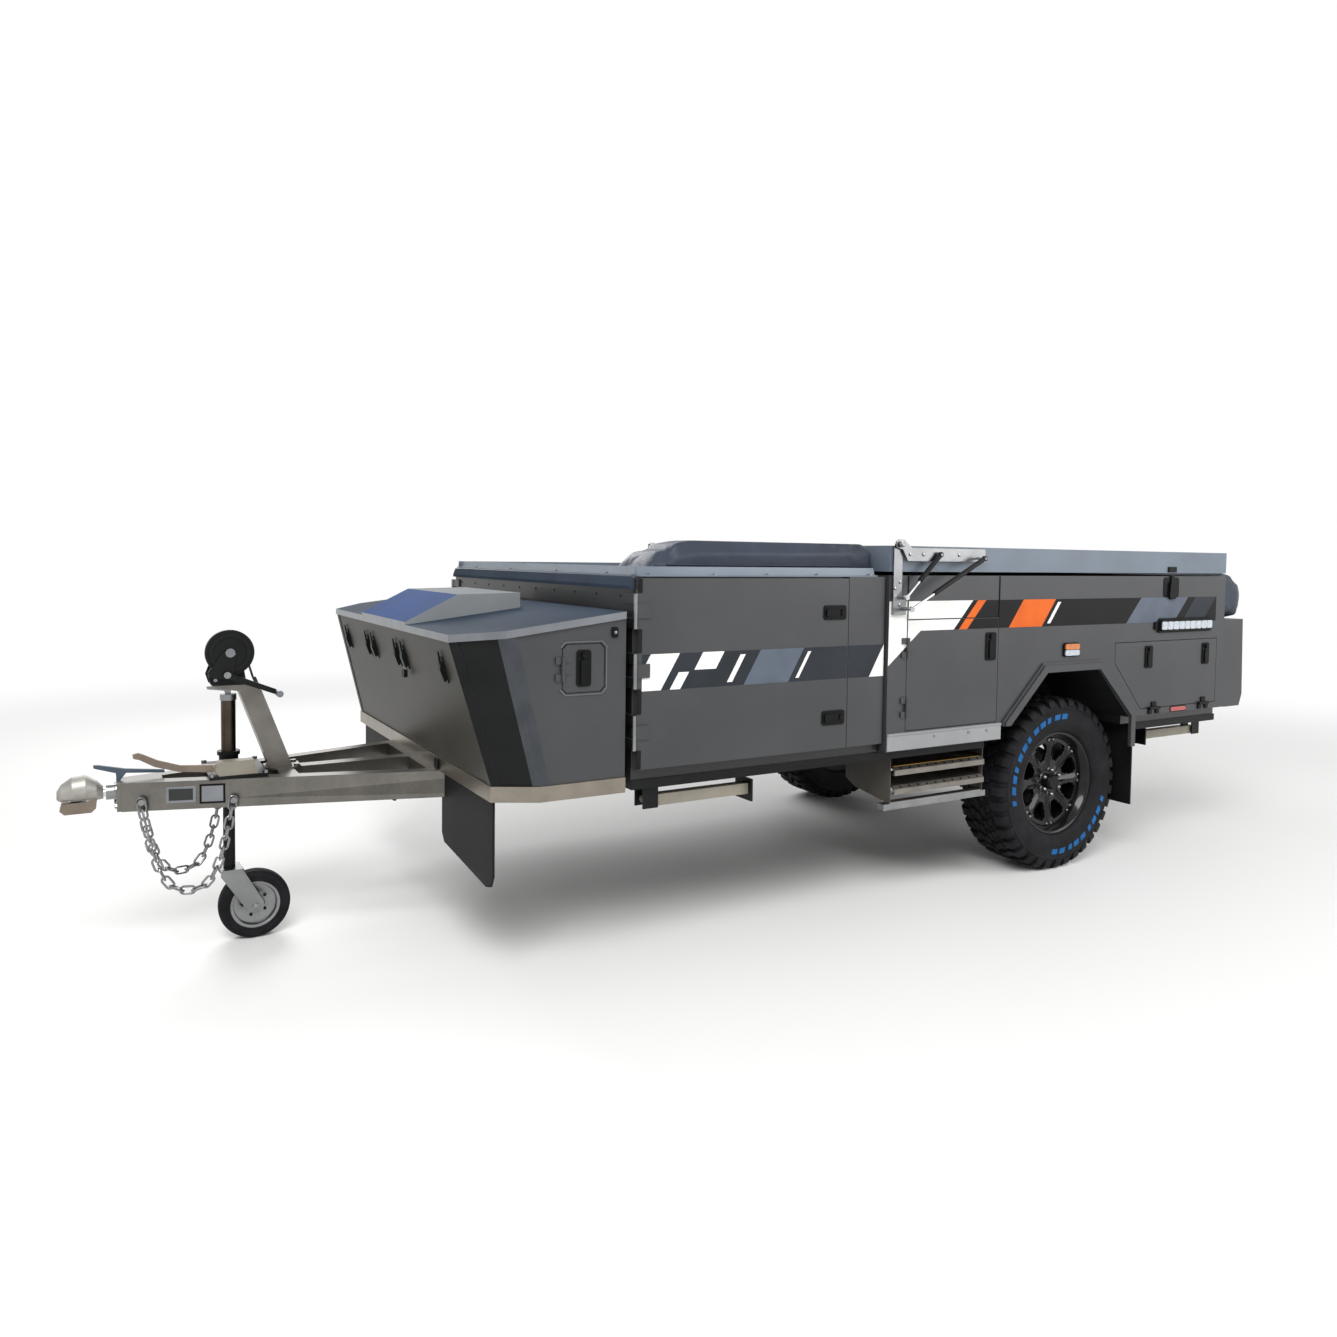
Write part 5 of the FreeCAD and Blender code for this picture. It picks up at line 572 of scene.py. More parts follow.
def road_rim(name, side):
    """One-piece alloy wheel: rolled lip, barrel, eight windows between flared spokes, bolts and lug nuts."""
    shape = bmesh.new()
    well, bead = 0.205, 0.108
    face = bead - 0.040
    barrel = [(face - 0.024, well), (-bead, well), (-bead, 0.240), (-bead + 0.004, 0.240),
              (-bead + 0.006, 0.233), (-bead + 0.030, 0.229), (-bead + 0.050, 0.217), (bead - 0.060, 0.217),
              (bead - 0.030, 0.229), (bead - 0.006, 0.233), (bead - 0.003, 0.2392), (bead, 0.2385),
              (bead + 0.0005, 0.234), (bead - 0.002, 0.2285), (bead - 0.010, 0.2235),
              (bead - 0.026, 0.2145), (face, 0.2075)]
    turned(shape, (0, side * TRACK_HALF, TYRE_R), (0, side, 0), barrel, sides=96, loop=True)
    sector, steps = tau / 8, 16
    count = 8 * steps
    radii = [0.036, 0.050, 0.064, 0.078, 0.092, 0.104, 0.116, 0.136, 0.158, 0.176, 0.188, 0.197, 0.2065]
    half_window = {0.104: 0.10, 0.116: 0.17, 0.136: 0.215, 0.158: 0.235, 0.176: 0.235, 0.188: 0.16}

    def depth(radius, part):
        """How far out the wheel face stands; part is 0 in the middle of a spoke and 1 in a window's."""
        bowl = face - 0.012 + 0.012 * min(1, max(0, (radius - 0.09) / 0.1))
        ridge = 0.010 * max(0, 1 - part / 0.42) * (0.064 < radius < 0.19)
        hub = 0.006 * (radius < 0.07)
        return bowl + ridge + hub

    grid = {}
    for low in (0, 1):
        for i, radius in enumerate(radii):
            for j in range(count):
                angle = j * tau / count
                out = depth(radius, 1 - abs((angle / sector) % 1 - 0.5) * 2) - low * 0.016
                grid[low, i, j] = shape.verts.new(wheel_point(side, angle, radius, out))

    def is_open(i, j):
        """Whether the cell of the face between two radii and two angles lies in a window."""
        if not (radii[i] in half_window and radii[i + 1] in half_window):
            return False
        middle = (j + 0.5) / steps % 1 - 0.5
        reach = (half_window[radii[i]] + half_window[radii[i + 1]]) / 2
        return abs(middle * sector) < reach

    for i in range(len(radii) - 1):
        for j in range(count):
            n = (j + 1) % count
            if is_open(i, j):
                continue
            for low in (0, 1):
                shape.faces.new((grid[low, i, j], grid[low, i, n], grid[low, i + 1, n], grid[low, i + 1, j]))
            for a, b, other in (((i, j), (i + 1, j), (i, j - 1)), ((i, n), (i + 1, n), (i, j + 1)),
                                ((i, j), (i, n), (i - 1, j)), ((i + 1, j), (i + 1, n), (i + 1, j))):
                inside = 0 <= other[0] < len(radii) - 1
                if not inside or is_open(other[0], other[1] % count):
                    shape.faces.new([grid[low, row, column % count]
                                     for low, (row, column) in ((0, a), (0, b), (1, b), (1, a))])
    out = Vector((0, side, 0))
    for k in range(8):
        for shift in (-0.075, 0.075):
            bolt(shape, wheel_point(side, k * sector + shift, 0.1985, face - 0.001), out, 0.0062, 0.006, 1)
    for k in range(6):
        foot = wheel_point(side, (k + 0.5) * tau / 6, 0.0565, face - 0.007)
        nut = [(0, 0.0125), (0.004, 0.0125), (0.006, 0.0098), (0.022, 0.0098), (0.027, 0.006), (0.028, 0)]
        turned(shape, foot, out, nut, 1, 12)
    piece("lacquered_" + name, name.replace("rim", "wheel"), shape, (wheel_lacquer, plated),
          edge=0.0016, smooth=40, replaces=(name,))


for side, hand in SIDES:
    road_tyre("tyre_" + hand, side)
    road_rim("rim_" + hand, side)


# Safety chains

def chain_spots():
    """Station and height of the ends of the links, the same distance apart along a hanging loop."""
    count, sag = 21, 3  # links, and how sharply the loop turns at its foot
    front, low, back = (3.742, 0.572), (3.596, 0.246), (3.456, 0.566)
    fine = []
    for k in range(2001):
        x = front[0] + (back[0] - front[0]) * k / 2000
        end = front if x > low[0] else back
        fine.append((x, low[1] + (end[1] - low[1]) * abs((x - low[0]) / (end[0] - low[0])) ** sag))
    steps = [dist(a, b) for a, b in zip(fine, fine[1:])]
    reach = sum(steps) / count
    spots, gone = [fine[0]], 0
    for step, spot in zip(steps, fine[1:]):
        gone += step
        if gone >= reach * len(spots) and len(spots) < count:
            spots.append(spot)
    return spots + [fine[-1]]


def safety_chains():
    """Two chains of welded round-bar links, each link a quarter turn from the next."""
    wire = 0.008
    shape = bmesh.new()
    spots = chain_spots()
    for side in (1, -1):
        ends = [Vector((x, side * (0.072 + 0.283125 * (3.8 - x)), z)) for x, z in spots]
        for k, (a, b) in enumerate(zip(ends, ends[1:])):
            ahead = (b - a).normalized()
            flat = (Vector((0, 1, 0)) - ahead * ahead.y).normalized()
            wide = flat if k % 2 else ahead.cross(flat)
            middle = (a + b) / 2
            straight = (b - a).length / 2 - 0.0073
            reach = 0.013
            path = []
            for j in range(16):
                angle = tau * (j + 0.5) / 16
                u = straight * (1 if cos(angle) > 0 else -1) + reach * cos(angle)
                path.append(middle + ahead * u + wide * reach * sin(angle))
            bar(shape, path, wire / 2, sides=8, loop=True)
    piece("round_link_chains", "trailer", shape, (plated,), replaces=("safety_chains",))


safety_chains()


# Front box

def frame_ring(shape, place, outer, inner, low, high, skip=()):
    """Flat frame between two outlines with as many corners; a skipped side stays open."""
    for k in range(len(outer)):
        if k not in skip:
            n = (k + 1) % len(outer)
            plate(shape, place, [outer[k], outer[n], inner[n], inner[k]], low, high)


def box_trim():
    """Frame round each box hatch, lock cover behind it, and the clip on the tube under the box."""
    shape = bmesh.new()
    for side in (1, -1):
        place = side_face(side, BOX_FACE)
        outer, inner = [clipped(2.476 - w, 2.476 + w, 1.06 - h, 1.06 + h, c)
                        for w, h, c in ((0.086, 0.090, 0.019), (0.0815, 0.0855, 0.0172))]
        frame_ring(shape, place, outer, inner, -0.0005, 0.0035, skip=(2,))
        plate(shape, place, clipped(2.351, 2.373, 1.158, 1.194, 0.004), -0.0005, 0.008, 1)
        bolt(shape, (2.362, side * 0.967, 1.176), (0, side, 0), 0.0055, 0.003, 2, 12)
    plate(shape, from_front, clipped(0.30, 0.345, 0.632, 0.672, 0.006), 2.7725, 2.779, 1)
    piece("front_box_trim", "trailer", shape, (frame_grey, plastic, plated), edge=0.0006)


def padlock():
    """Small padlock hung on one of the latches."""
    shape = bmesh.new()
    y, x = 0.22, 2.877
    plate(shape, from_front, clipped(y - 0.016, y + 0.016, 0.968, 0.998, 0.005), x - 0.018, x - 0.004)
    arch = [(-0.009, 0.996), (-0.009, 1.008), (-0.004, 1.015), (0.004, 1.015), (0.009, 1.008), (0.009, 0.996)]
    bar(shape, [(x - 0.011, y + aside, z) for aside, z in arch], 0.003, 1, 8)
    piece("padlock", "trailer", shape, (plastic, plated), edge=0.002)


box_trim()
padlock()


# Vinyl bands, seams and seals on the bodies

def slanted(x0, x1, z0, z1, lean):
    """Slanted block between two heights; lean is how far its top stands ahead of its bottom."""
    return [(x0, z0), (x1, z0), (x1 + lean, z1), (x0 + lean, z1)]


def band(name, body, face, *blocks, sides=(1, -1)):
    """Film on a side face: blocks of (finish, outline), each a touch prouder than the one before."""
    shape = bmesh.new()
    finishes = list(dict.fromkeys(finish for finish, outline in blocks))
    for side in sides:
        for k, (finish, outline) in enumerate(blocks):
            proud = 0.0005 + 0.00025 * k
            plate(shape, side_face(side, face), outline, -0.0003, proud, finishes.index(finish))
    piece(name, body, shape, finishes)


for side, hand in SIDES:
    band("door_band_" + hand, "front_door_" + hand, DOOR_FACE,
         (vinyl_dusk, rect(1.3545, 2.2605, 0.971, 1.097)),
         (vinyl_white, [(2.2605, 0.971), (2.2605, 1.040), (2.226, 1.097), (2.110, 1.097), (2.186, 0.971)]),
         (vinyl_white, slanted(2.108, 2.150, 0.971, 1.030, -0.036)),
         (vinyl_white, slanted(1.960, 2.050, 1.036, 1.097, -0.036)),
         (vinyl_white, slanted(1.890, 1.912, 0.985, 1.083, -0.058)),
         (vinyl_slate, slanted(1.640, 1.840, 0.971, 1.097, -0.075)),
         (vinyl_white, slanted(1.590, 1.604, 0.985, 1.083, -0.058)), sides=(side,))
band("tail_band_front", "trailer", DOOR_FACE,
     (vinyl_dusk, rect(1.168, 1.3475, 0.971, 1.097)),
     (vinyl_white, [(1.168, 0.971), (1.242, 0.971), (1.168, 1.097)]))
REAR_BAND = (
    (vinyl_black, rect(-1.050, 1.1565, 1.147, 1.267)),
    (vinyl_white, [(1.1565, 1.010), (1.1565, 1.267), (0.690, 1.267), (0.800, 1.147), (0.985, 1.147)]),
    (vinyl_orange, slanted(0.722, 0.770, 1.147, 1.267, -0.110)),
    (vinyl_orange, slanted(0.260, 0.470, 1.147, 1.267, -0.090)),
    (vinyl_white, slanted(0.205, 0.225, 1.160, 1.254, -0.070)),
    (vinyl_slate, slanted(-0.700, -0.330, 1.147, 1.267, -0.110)),
    (vinyl_dusk, slanted(-0.935, -0.760, 1.147, 1.267, -0.110)),
)


def part_of(outline, x0, x1, z0=-9, z1=9):
    """Part of an outline between two stations and two heights."""
    for axis, edge, keep in ((0, x0, 1), (0, x1, -1), (1, z0, 1), (1, z1, -1)):
        kept = []
        for a, b in zip(outline, outline[1:] + outline[:1]):
            inside, ahead = keep * (a[axis] - edge) >= 0, keep * (b[axis] - edge) >= 0
            if inside:
                kept.append(a)
            if inside != ahead:
                share = (edge - a[axis]) / (b[axis] - a[axis])
                kept.append((a[0] + (b[0] - a[0]) * share, a[1] + (b[1] - a[1]) * share))
        outline = kept
    return outline


def rear_blocks(*room):
    """Blocks of the rear band that show in a room, cut to it."""
    cut = [(finish, part_of(outline, *room)) for finish, outline in REAR_BAND]
    return [block for block in cut if block[1]]


band("rear_band", "trailer", REAR_FACE, *rear_blocks(1.0605, 1.1575), *rear_blocks(-1.06, 0.5285))
band("over_door_band", "trailer", REAR_FACE, *rear_blocks(0.5315, 1.0575, 1.195), sides=(1,))
band("entry_door_band", "entry_door", REAR_FACE, *rear_blocks(0.5345, 1.0545, -9, 1.190), sides=(1,))
band("far_middle_band", "trailer", REAR_FACE, *rear_blocks(0.5285, 1.0605), sides=(-1,))


def door_seams():
    """Seams that run on over the entry door."""
    shape = bmesh.new()
    for x in (1.0575, 0.5315):
        plate(shape, side_face(1, REAR_FACE), rect(x - 0.0017, x + 0.0017, 1.196, 1.3685), -0.0003, 0.0032)
    piece("side_seams", "trailer", shape, (sheet_rubber,))


def door_seals():
    """Rubber seal along the front edge of each big door."""
    for side, hand in SIDES:
        shape = bmesh.new()
        for z0, z1 in ((0.702, 0.768), (0.892, 0.979), (1.103, 1.184), (1.308, 1.357)):
            plate(shape, side_face(side, DOOR_FACE), rect(2.262, 2.2785, z0, z1), -0.0005, 0.003)
        piece("door_seal_" + hand, "front_door_" + hand, shape, (sheet_rubber,), edge=0.001)


door_seams()
door_seals()


# Bolts, rivets and blank plates

def fasteners():
    """Bolts and rivets that show on the bodies, the drawbar and the winch."""
    shape = bmesh.new()
    for side in (1, -1):
        out = (0, side, 0)
        for x in (2.225, 1.962, 1.730, 1.496, 1.237):
            bolt(shape, (x, side * 0.9315, 1.382), out, 0.006, 0.004)
            bolt(shape, (x, side * 0.956, 1.370), (0, 0, 1), 0.007, 0.006)
        for x in (0.898, 0.701, 0.593):
            bolt(shape, (x, side * 0.987, 0.712), out, 0.006, 0.0035, 0, 12)
        nut = [(0, 0.014), (0.003, 0.014), (0.004, 0.011), (0.011, 0.011), (0.013, 0.008)]
        turned(shape, (1.125, side * 1.0125, 1.493), out, nut, 0, 6)
        for x, z in ((1.112, 1.255), (1.138, 1.32), (1.112, 1.345)):
            bolt(shape, (x, side * 0.995, z), out, 0.0075, 0.005)
        for z in (0.548, 0.608):
            bolt(shape, (3.812, side * 0.040, z), (1, 0, 0), 0.009, 0.007)
        for x in (3.345, 3.522):
            bolt(shape, (x, side * 0.142, 0.640), (0, 0, 1), 0.010, 0.008)
        for x in (3.408, 3.498):
            bolt(shape, (x, side * 0.046, 0.969), out, 0.008, 0.006)
        for y in (0.25, 0.70):
            bolt(shape, (2.265, side * y, 1.370), (0, 0, 1), 0.007, 0.006)
        for k in range(5):
            bolt(shape, (2.285, side * (0.09 + 0.19 * k), 1.295), (1, 0, 0), 0.0045, 0.002, 1, 12)
    piece("bolts_and_rivets", "trailer", shape, (plated, black_coat))


def arm_bolts():
    """Bolts that hold the lid to its two steel arms; they swing with it."""
    shape = bmesh.new()
    for side in (1, -1):
        for x in (1.072, 1.00, 0.80):
            bolt(shape, (x, side * 1.007, 1.455), (0, side, 0), 0.0085, 0.006)
    piece("lid_arm_bolts", "main_lid", shape, (plated,))


def rail_point(x, z, out):
    """Point drawn on the outer face of the near drawbar rail: station, height, and how far out of it."""
    return Vector((x + 0.272 * out, 0.053 + 0.283125 * (3.8 - x) + 0.962 * out, z))


def rail_plates():
    """Blank data plates on the near drawbar rail."""
    shape = bmesh.new()
    for x0, x1, z0, z1, mat, out in (
            (3.479, 3.560, 0.545, 0.614, 0, 0.0012), (3.486, 3.553, 0.552, 0.607, 1, 0.0016),
            (3.572, 3.663, 0.552, 0.609, 1, 0.0012), (3.580, 3.655, 0.560, 0.601, 2, 0.0016)):
        plate(shape, rail_point, rect(x0, x1, z0, z1), -0.0004, out, mat)
    piece("blank_rail_plates", "trailer", shape, (plastic, silver, dark_paint))


fasteners()
arm_bolts()
rail_plates()


# Lamps

def signal_lamps():
    """Lamp bar with clear cells, two-colour marker, red reflector and tail strips; replaces plain solids."""
    shape = bmesh.new()
    for side in (1, -1):
        place = side_face(side, REAR_FACE)
        for outline, low, high, mat in (
                (clipped(-1.006, -0.566, 1.096, 1.166, 0.014), 0.0003, 0.0100, 0),
                (rect(-0.566, -0.544, 1.112, 1.150), 0.0003, 0.0080, 0),
                (clipped(0.007, 0.113, 1.006, 1.069, 0.008), 0.0003, 0.0080, 0),
                (clipped(0.013, 0.107, 1.0385, 1.064, 0.005), 0.0070, 0.0135, 2),
                (clipped(0.013, 0.107, 1.011, 1.0365, 0.005), 0.0070, 0.0135, 1),
                (clipped(-0.826, -0.694, 0.702, 0.730, 0.006), 0.0003, 0.0024, 0),
                (clipped(-0.822, -0.698, 0.706, 0.726, 0.005), 0.0020, 0.0033, 3)):
            plate(shape, place, outline, low, high, mat)
        frame_ring(shape, place, clipped(-0.998, -0.574, 1.104, 1.158, 0.010),
                   clipped(-0.992, -0.580, 1.110, 1.152, 0.006), 0.0095, 0.0190)
        for k in range(9):
            start = -0.991 + k * 0.0458
            plate(shape, place, clipped(start, start + 0.0425, 1.1115, 1.1505, 0.005), 0.0090, 0.0205, 1)
        for z0, z1, mat in ((0.762, 0.872, 3), (0.876, 0.966, 2), (0.970, 1.056, 3)):
            plate(shape, lambda y, z, out: (-1.352 - 0.014 * (1.146 - z) / 0.396 - out, side * y, z),
                  rect(0.862, 0.928, z0, z1), 0.0003, 0.006, mat)
    piece("side_and_tail_lamps", "trailer", shape, (plastic, clear_lens, orange_lens, red_lens),
          edge=0.0012, replaces=("lamps",))


signal_lamps()


# Steps, springs and jockey wheel

def step_trim():
    """Grip holes along the folded nosings and the yellow strip on the upper tread."""
    shape = bmesh.new()
    hole = [(-0.0005, 0.0055), (0.0010, 0.0055), (0.0012, 0.0040), (0.0004, 0.0035), (0.0004, 0)]
    for low in (0.470, 0.548):
        for k in range(10):
            turned(shape, (0.565 + k * 0.0495, 0.915, low + 0.028), (0, 0.6, 0.8), hole, 0, 16)
    plate(shape, from_above, rect(0.540, 1.040, 0.872, 0.902), 0.5818, 0.5830, 1)
    piece("step_grip_trim", "steps", shape, (black_coat, gold))


def springs():
    """Coil spring over each trailing arm, wound between its two seats."""
    shape = bmesh.new()
    steps, turns = 96, 5.5
    for side in (1, -1):
        path = []
        for k in range(steps + 1):
            angle, rise = tau * turns * k / steps, 0.175 * k / steps
            path.append((0.130 + 0.0410 * cos(angle), side * (0.509 + 0.0410 * sin(angle)), 0.478 + rise))
        bar(shape, path, 0.0065, 0, 10)
        for z0, z1 in ((0.4716, 0.4735), (0.6560, 0.6598)):
            turned(shape, (0.130, side * 0.509, 0), (0, 0, 1), [(z0, 0.048), (z1, 0.048)], 0, 24)
    piece("wound_springs", "trailer", shape, (black_coat,), replaces=("coil_springs",))


def jockey_tyre():
    """Solid-looking small tyre with three ribs and a moulded sidewall ring."""
    shape = bmesh.new()
    half = [(0.0320, 0.0865), (0.0335, 0.0920), (0.0320, 0.0945), (0.0330, 0.0980), (0.0355, 0.1060),
            (0.0340, 0.1150), (0.0280, 0.1215), (0.0245, 0.1225), (0.0240, 0.1180), (0.0185, 0.1180),
            (0.0180, 0.1240), (0.0090, 0.1247), (0.0085, 0.1195), (0.0045, 0.1195), (0.0040, 0.1250)]
    turned(shape, JOCKEY_HUB, (0, 1, 0), mirrored(half), 0, 72, loop=True)
    piece("ribbed_jockey_tyre", "jockey_wheel", shape, (tyre_mat,), smooth=50,
          replaces=("jockey_tyre",))


def jockey_rim():
    """Pressed steel rim of the jockey wheel: dished discs, rolled edges, bolts and a greased hub."""
    shape = bmesh.new()
    half = [(0.0340, 0.0095), (0.0340, 0.0240), (0.0320, 0.0290), (0.0120, 0.0300), (0.0085, 0.0350),
            (0.0085, 0.0500), (0.0130, 0.0620), (0.0130, 0.0720), (0.0280, 0.0760), (0.0300, 0.0810),
            (0.0300, 0.0858)]
    turned(shape, JOCKEY_HUB, (0, 1, 0), mirrored(half), 0, 60, loop=True)
    for side in (1, -1):
        for k in range(5):
            angle = tau * k / 5
            spot = (3.367 + 0.043 * cos(angle), side * 0.0085, 0.125 + 0.043 * sin(angle))
            bolt(shape, spot, (0, side, 0), 0.006, 0.006, 1)
    piece("pressed_jockey_rim", "jockey_wheel", shape, (plated, black_coat), smooth=35,
          replaces=("jockey_rim",))


def fork_nuts():
    """Nuts on the ends of the jockey wheel's axle."""
    shape = bmesh.new()
    for side in (1, -1):
        nut = [(-0.001, 0.017), (0.0015, 0.017), (0.002, 0.0125), (0.010, 0.0125), (0.012, 0.009)]
        turned(shape, (3.367, side * 0.049, 0.125), (0, side, 0), nut, 0, 6)
    piece("fork_nuts", "jockey_caster", shape, (plated,))


step_trim()
springs()
jockey_tyre()
jockey_rim()
fork_nuts()


# Padded covers

def settled(made, voxel, low, high):
    """Swells a closed cover with a short cloth run, no more than a cap and in its room, and rounds it."""
    cap = 0.012
    skin = made.modifiers.new("remesh", "REMESH")
    skin.mode = "VOXEL"
    skin.voxel_size = voxel
    ready = bpy.data.meshes.new_from_object(made.evaluated_get(bpy.context.evaluated_depsgraph_get()))
    made.modifiers.clear()
    ready.materials.clear()
    for finish in made.data.materials:
        ready.materials.append(finish)
    made.data = ready
    cloth = made.modifiers.new("cloth", "CLOTH")
    cloth.settings.use_pressure = True
    cloth.settings.uniform_pressure_force = 4
    cloth.settings.effector_weights.gravity = 0
    cloth.point_cache.frame_end = 20
    for step in range(1, 21):
        scene.frame_set(step)
    swollen = made.evaluated_get(bpy.context.evaluated_depsgraph_get()).data.vertices
    ends = [v.co.copy() for v in swollen]
    made.modifiers.clear()
    scene.frame_set(1)
    for vertex, end in zip(ready.vertices, ends):
        move = end - vertex.co
        vertex.co = vertex.co + move * min(1, cap / max(move.length, 1e-6))
    for vertex in ready.vertices:
        vertex.co = [min(max(c, a), b) for c, a, b in zip(vertex.co, low, high)]
    for face in ready.polygons:
        face.use_smooth = True
    rounder = made.modifiers.new("round", "SUBSURF")
    rounder.levels = rounder.render_levels = 1


def kerb_bag():
    """Padded bag along the kerb side of the front body's roof."""
    shape = bmesh.new()
    rows = []
    line = [(2.226, 1.374), (2.200, 1.406), (2.160, 1.440), (2.112, 1.446), (2.080, 1.470), (2.02, 1.480),
            (1.92, 1.483), (1.75, 1.484), (1.60, 1.485), (1.45, 1.486), (1.30, 1.487), (1.22, 1.485),
            (1.182, 1.478)]
    for k, (x, top) in enumerate(line):
        sag = 0.004 * sin(3.1 * k)
        section = [(0.662, 1.3655), (0.912, 1.3655), (0.916, top - 0.036 if top > 1.41 else top - 0.006),
                   (0.884, top + sag * 0.4), (0.77, top + sag), (0.664, top - 0.004)]
        rows.append([shape.verts.new((x, y, max(z, 1.3660) if j > 1 else z))
                     for j, (y, z) in enumerate(section)])
    rows_of_faces(shape, rows, 0, cap=True)
    made = piece("kerb_side_bag", "trailer", shape, (canvas,), replaces=("front_cover",))
    settled(made, 0.009, (1.172 + AXLE, 0.650, 1.3645), (2.234 + AXLE, 0.929, 1.4925))
    return made


TAIL_X, TAIL_Z = -1.235, 1.265  # middle of the tail cover's section


def tail_cover():
    """Padded cover over the rear box, held by straps, its ends drawn in."""
    shape = bmesh.new()
    section = [(-1.130, 1.158), (-1.130, 1.360), (-1.182, 1.392), (-1.270, 1.378), (-1.345, 1.326),
               (-1.362, 1.270), (-1.352, 1.196), (-1.335, 1.158)]
    rows = []
    for y, size in ((-0.932, 0.90), (-0.920, 0.97), (-0.85, 1.0), (-0.56, 0.975), (-0.28, 1.0), (0, 0.98),
                    (0.28, 1.0), (0.56, 0.975), (0.85, 1.0), (0.920, 0.97), (0.932, 0.90)):
        rows.append([shape.verts.new((TAIL_X + (x - TAIL_X) * size, y, TAIL_Z + (z - TAIL_Z) * size))
                     for x, z in section])
    rows_of_faces(shape, rows, 0, cap=True)
    made = piece("padded_tail_cover", "trailer", shape, (canvas,), replaces=("rear_cover",))
    settled(made, 0.012, (-1.380 + AXLE, -0.941, 1.1465), (-1.1275 + AXLE, 0.941, 1.408))
    return made


def ribbon(shape, spots, normals, half, thick):
    """Flat strap along points that lie on a surface, half wide on either side of them."""
    rows = []
    for k, (spot, out) in enumerate(zip(spots, normals)):
        ahead = (spots[min(k + 1, len(spots) - 1)] - spots[max(k - 1, 0)]).normalized()
        wide = ahead.cross(out).normalized() * half
        rise = out * thick
        corners = (spot - wide, spot + wide, spot + wide + rise, spot - wide + rise)
        rows.append([shape.verts.new(p) for p in corners])
    rows_of_faces(shape, rows, 0, cap=True)


def on_surface(made, start, ahead):
    """Where a ray from a station meets a cover, and the direction out of it."""
    hit, place, normal, _ = made.ray_cast(Vector(start) + Vector((AXLE, 0, 0)), Vector(ahead))
    return (place - Vector((AXLE, 0, 0)), normal) if hit else None


def cover_straps(bag, cover):
    """Webbing round the tail cover, and the piped seam along the bag's side."""
    shape = bmesh.new()
    for y in (-0.62, 0.0, 0.62):
        found = []
        for k in range(19):
            angle = radians(84 + k * 8.5)
            ahead = Vector((cos(angle), 0, sin(angle)))
            found.append(on_surface(cover, Vector((TAIL_X, y, TAIL_Z)) + ahead * 0.3, -ahead))
        found = [f for f in found if f]
        ribbon(shape, [f[0] for f in found], [f[1] for f in found], 0.019, 0.0018)
    piece("cover_straps", "trailer", shape, (black_webbing,), smooth=60)
    shape = bmesh.new()
    found = [on_surface(bag, (1.20 + 0.031 * k, 1.2, 1.404), (0, -1, 0)) for k in range(31)]
    bar(shape, [f[0] + f[1] * 0.001 for f in found if f], 0.0028, 0, 8)
    piece("bag_piping", "trailer", shape, (canvas,), smooth=60)


cover_straps(kerb_bag(), tail_cover())


# Rear trim

def rear_trim():
    """Clips between the rear box and the body, and the latches of the rear box."""
    shape = bmesh.new()
    for side in (1, -1):
        for z in (0.79, 0.93, 1.08):
            plate(shape, side_face(side, 0.950), clipped(-1.168, -1.135, z - 0.017, z + 0.017, 0.004),
                  -0.0005, 0.006)
            bolt(shape, (-1.1515, side * 0.956, z), (0, side, 0), 0.006, 0.004, 0, 12)
        for y in (0.30, 0.62):
            plate(shape, lambda aside, z, out: (-1.3525 - out, side * aside, z),
                  clipped(y - 0.020, y + 0.020, 1.064, 1.128, 0.006), -0.001, 0.010, 1)
    piece("rear_box_trim", "trailer", shape, (silver, plastic), edge=0.0012)


rear_trim()


# Stage, light and camera

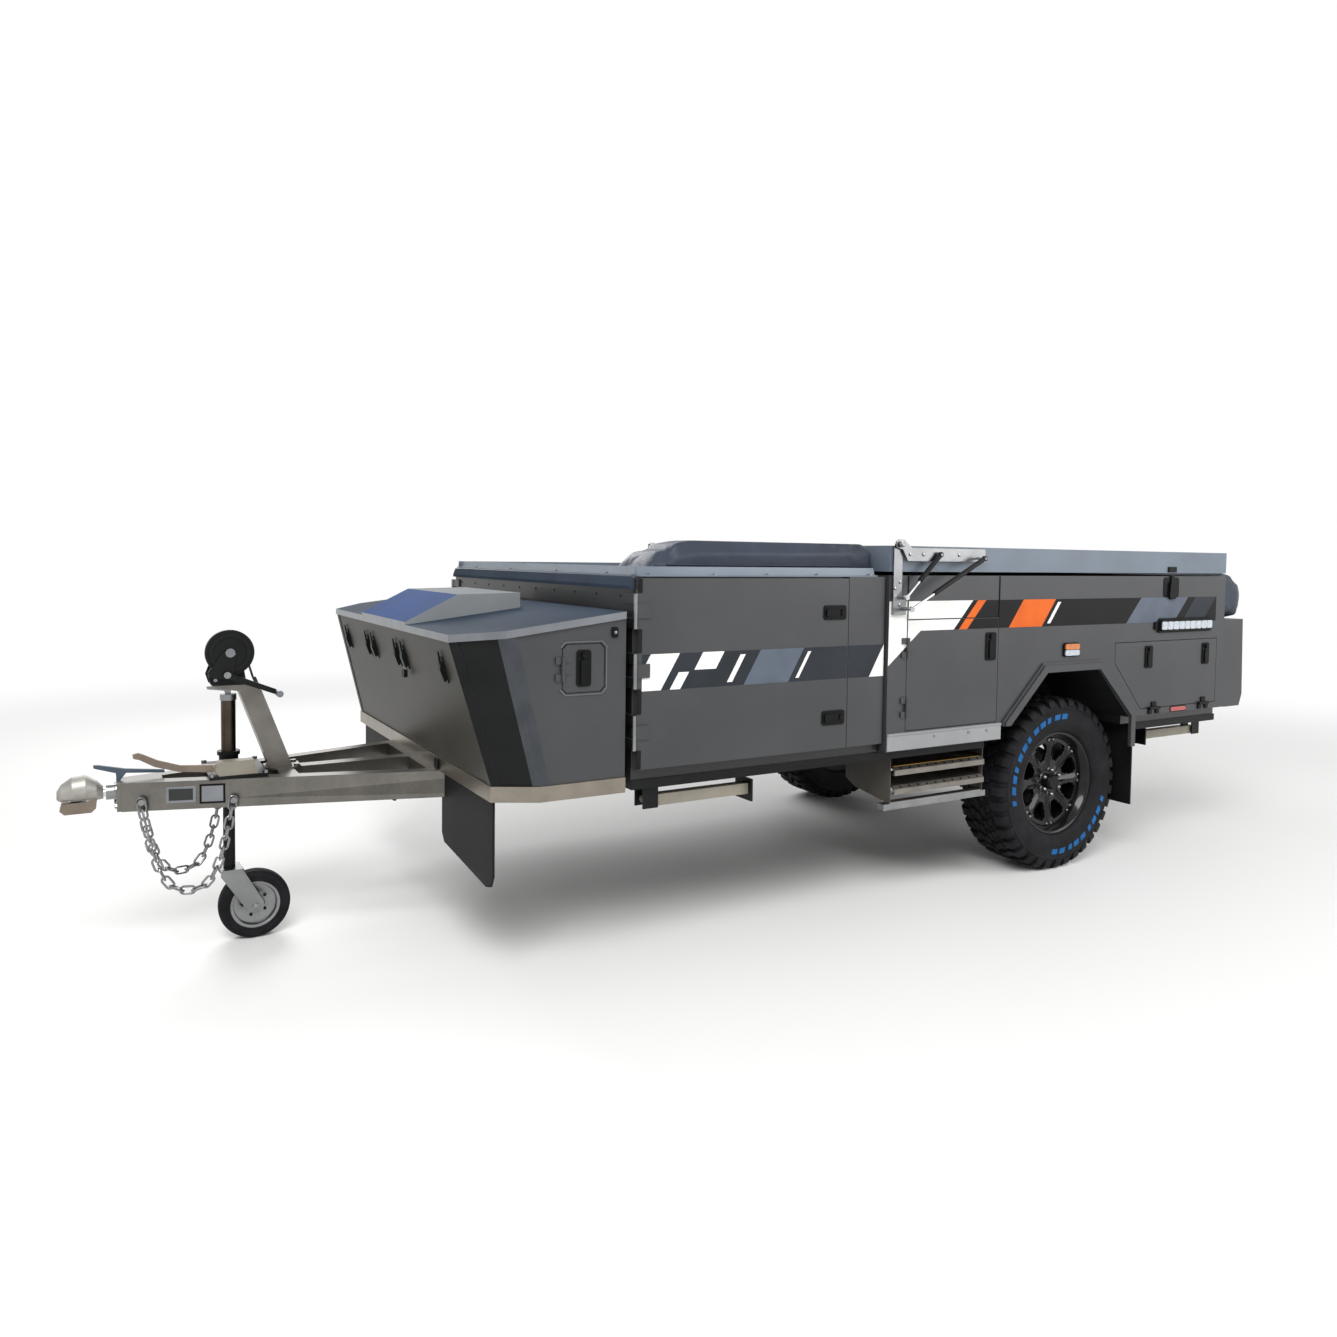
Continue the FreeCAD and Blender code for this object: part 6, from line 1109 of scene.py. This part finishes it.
def stage():
    """Pale floor that fades to white far out, in a world that only camera, metal and glass see as white."""
    mesh = bpy.data.meshes.new("floor")
    floor = bpy.data.objects.new("floor", mesh)
    scene.collection.objects.link(floor)
    shape = bmesh.new()
    bmesh.ops.create_grid(shape, x_segments=1, y_segments=1, size=40)
    shape.to_mesh(mesh)
    shape.free()
    mat, tree, shader, where = material("studio_floor")
    preset(shader, Base_Color=linear("#f1f1f0"), Roughness=0.6)
    reach = node(tree, "VectorMath", {"operation": "LENGTH"}, i0=where)
    fade = node(tree, "MapRange", {"interpolation_type": "SMOOTHSTEP"},
                Value=reach.outputs["Value"], From_Min=3.2, From_Max=9.0)
    far = node(tree, "Emission", Color=(1, 1, 1, 1), Strength=1.0)
    both = node(tree, "MixShader", i0=fade.outputs["Result"], i1=shader.outputs["BSDF"],
                i2=far.outputs["Emission"])
    output = next(n for n in tree.nodes if n.type == "OUTPUT_MATERIAL")
    tree.links.new(both.outputs["Shader"], output.inputs["Surface"])
    mesh.materials.append(mat)
    world = bpy.data.worlds.new("studio")
    scene.world = world
    world.use_nodes = True
    tree = world.node_tree
    tree.nodes.clear()
    path = node(tree, "LightPath")
    sharp = node(tree, "Math", {"operation": "MAXIMUM"}, i0=path.outputs["Is Glossy Ray"],
                 i1=path.outputs["Is Transmission Ray"])
    seen = node(tree, "Math", {"operation": "MAXIMUM"}, i0=path.outputs["Is Camera Ray"],
                i1=sharp.outputs["Value"])
    soft = node(tree, "Background", Color=linear("#ffffff"), Strength=0.35)
    white = node(tree, "Background", Color=(1, 1, 1, 1), Strength=1.0)
    mix = node(tree, "MixShader", i0=seen.outputs["Value"], i1=soft.outputs["Background"],
               i2=white.outputs["Background"])
    node(tree, "OutputWorld", Surface=mix.outputs["Shader"])


def soft_box(name, spot, target, size, power):
    """Square soft box that looks at a point."""
    data = bpy.data.lights.new(name, "AREA")
    data.size, data.energy = size, power
    obj = bpy.data.objects.new(name, data)
    obj.location = spot
    obj.rotation_mode = "QUATERNION"
    obj.rotation_quaternion = (Vector(target) - Vector(spot)).to_track_quat("-Z", "Y")
    scene.collection.objects.link(obj)


def camera():
    """Camera that stands and looks as the photograph's did; the frame is taken as 1337 by 1337."""
    yaw, pitch, roll = radians(30.39), radians(2.595), radians(0.731)
    focal, centre_x, centre_y, side = 994.67, 670.53, 602.79, 1337
    ahead = Vector((-sin(yaw) * cos(pitch), -cos(yaw) * cos(pitch), -sin(pitch)))
    right = ahead.cross(Vector((0, 0, 1))).normalized()
    up = right.cross(ahead)
    right, up = cos(roll) * right + sin(roll) * up, cos(roll) * up - sin(roll) * right
    data = bpy.data.cameras.new("camera")
    data.sensor_width, data.lens = 36, 36 * focal / side
    data.shift_x = -(centre_x - side / 2) / side
    data.shift_y = (centre_y - side / 2) / side
    obj = bpy.data.objects.new("camera", data)
    place = Vector((3.890 + AXLE, 3.934, 1.429))
    obj.matrix_world = Matrix((
        (right.x, up.x, -ahead.x, place.x), (right.y, up.y, -ahead.y, place.y),
        (right.z, up.z, -ahead.z, place.z), (0, 0, 0, 1)))
    scene.collection.objects.link(obj)
    scene.camera = obj


stage()
soft_box("key", (3.5, 4.5, 5.5), (0.2, 0, 0.7), 3.5, 420)
soft_box("fill", (-4.5, 5.0, 3.5), (-0.5, 0, 0.7), 4.0, 220)
soft_box("back", (1.0, -5.0, 4.5), (0, 0, 0.8), 4.0, 220)
camera()
scene.view_settings.view_transform = "Standard"
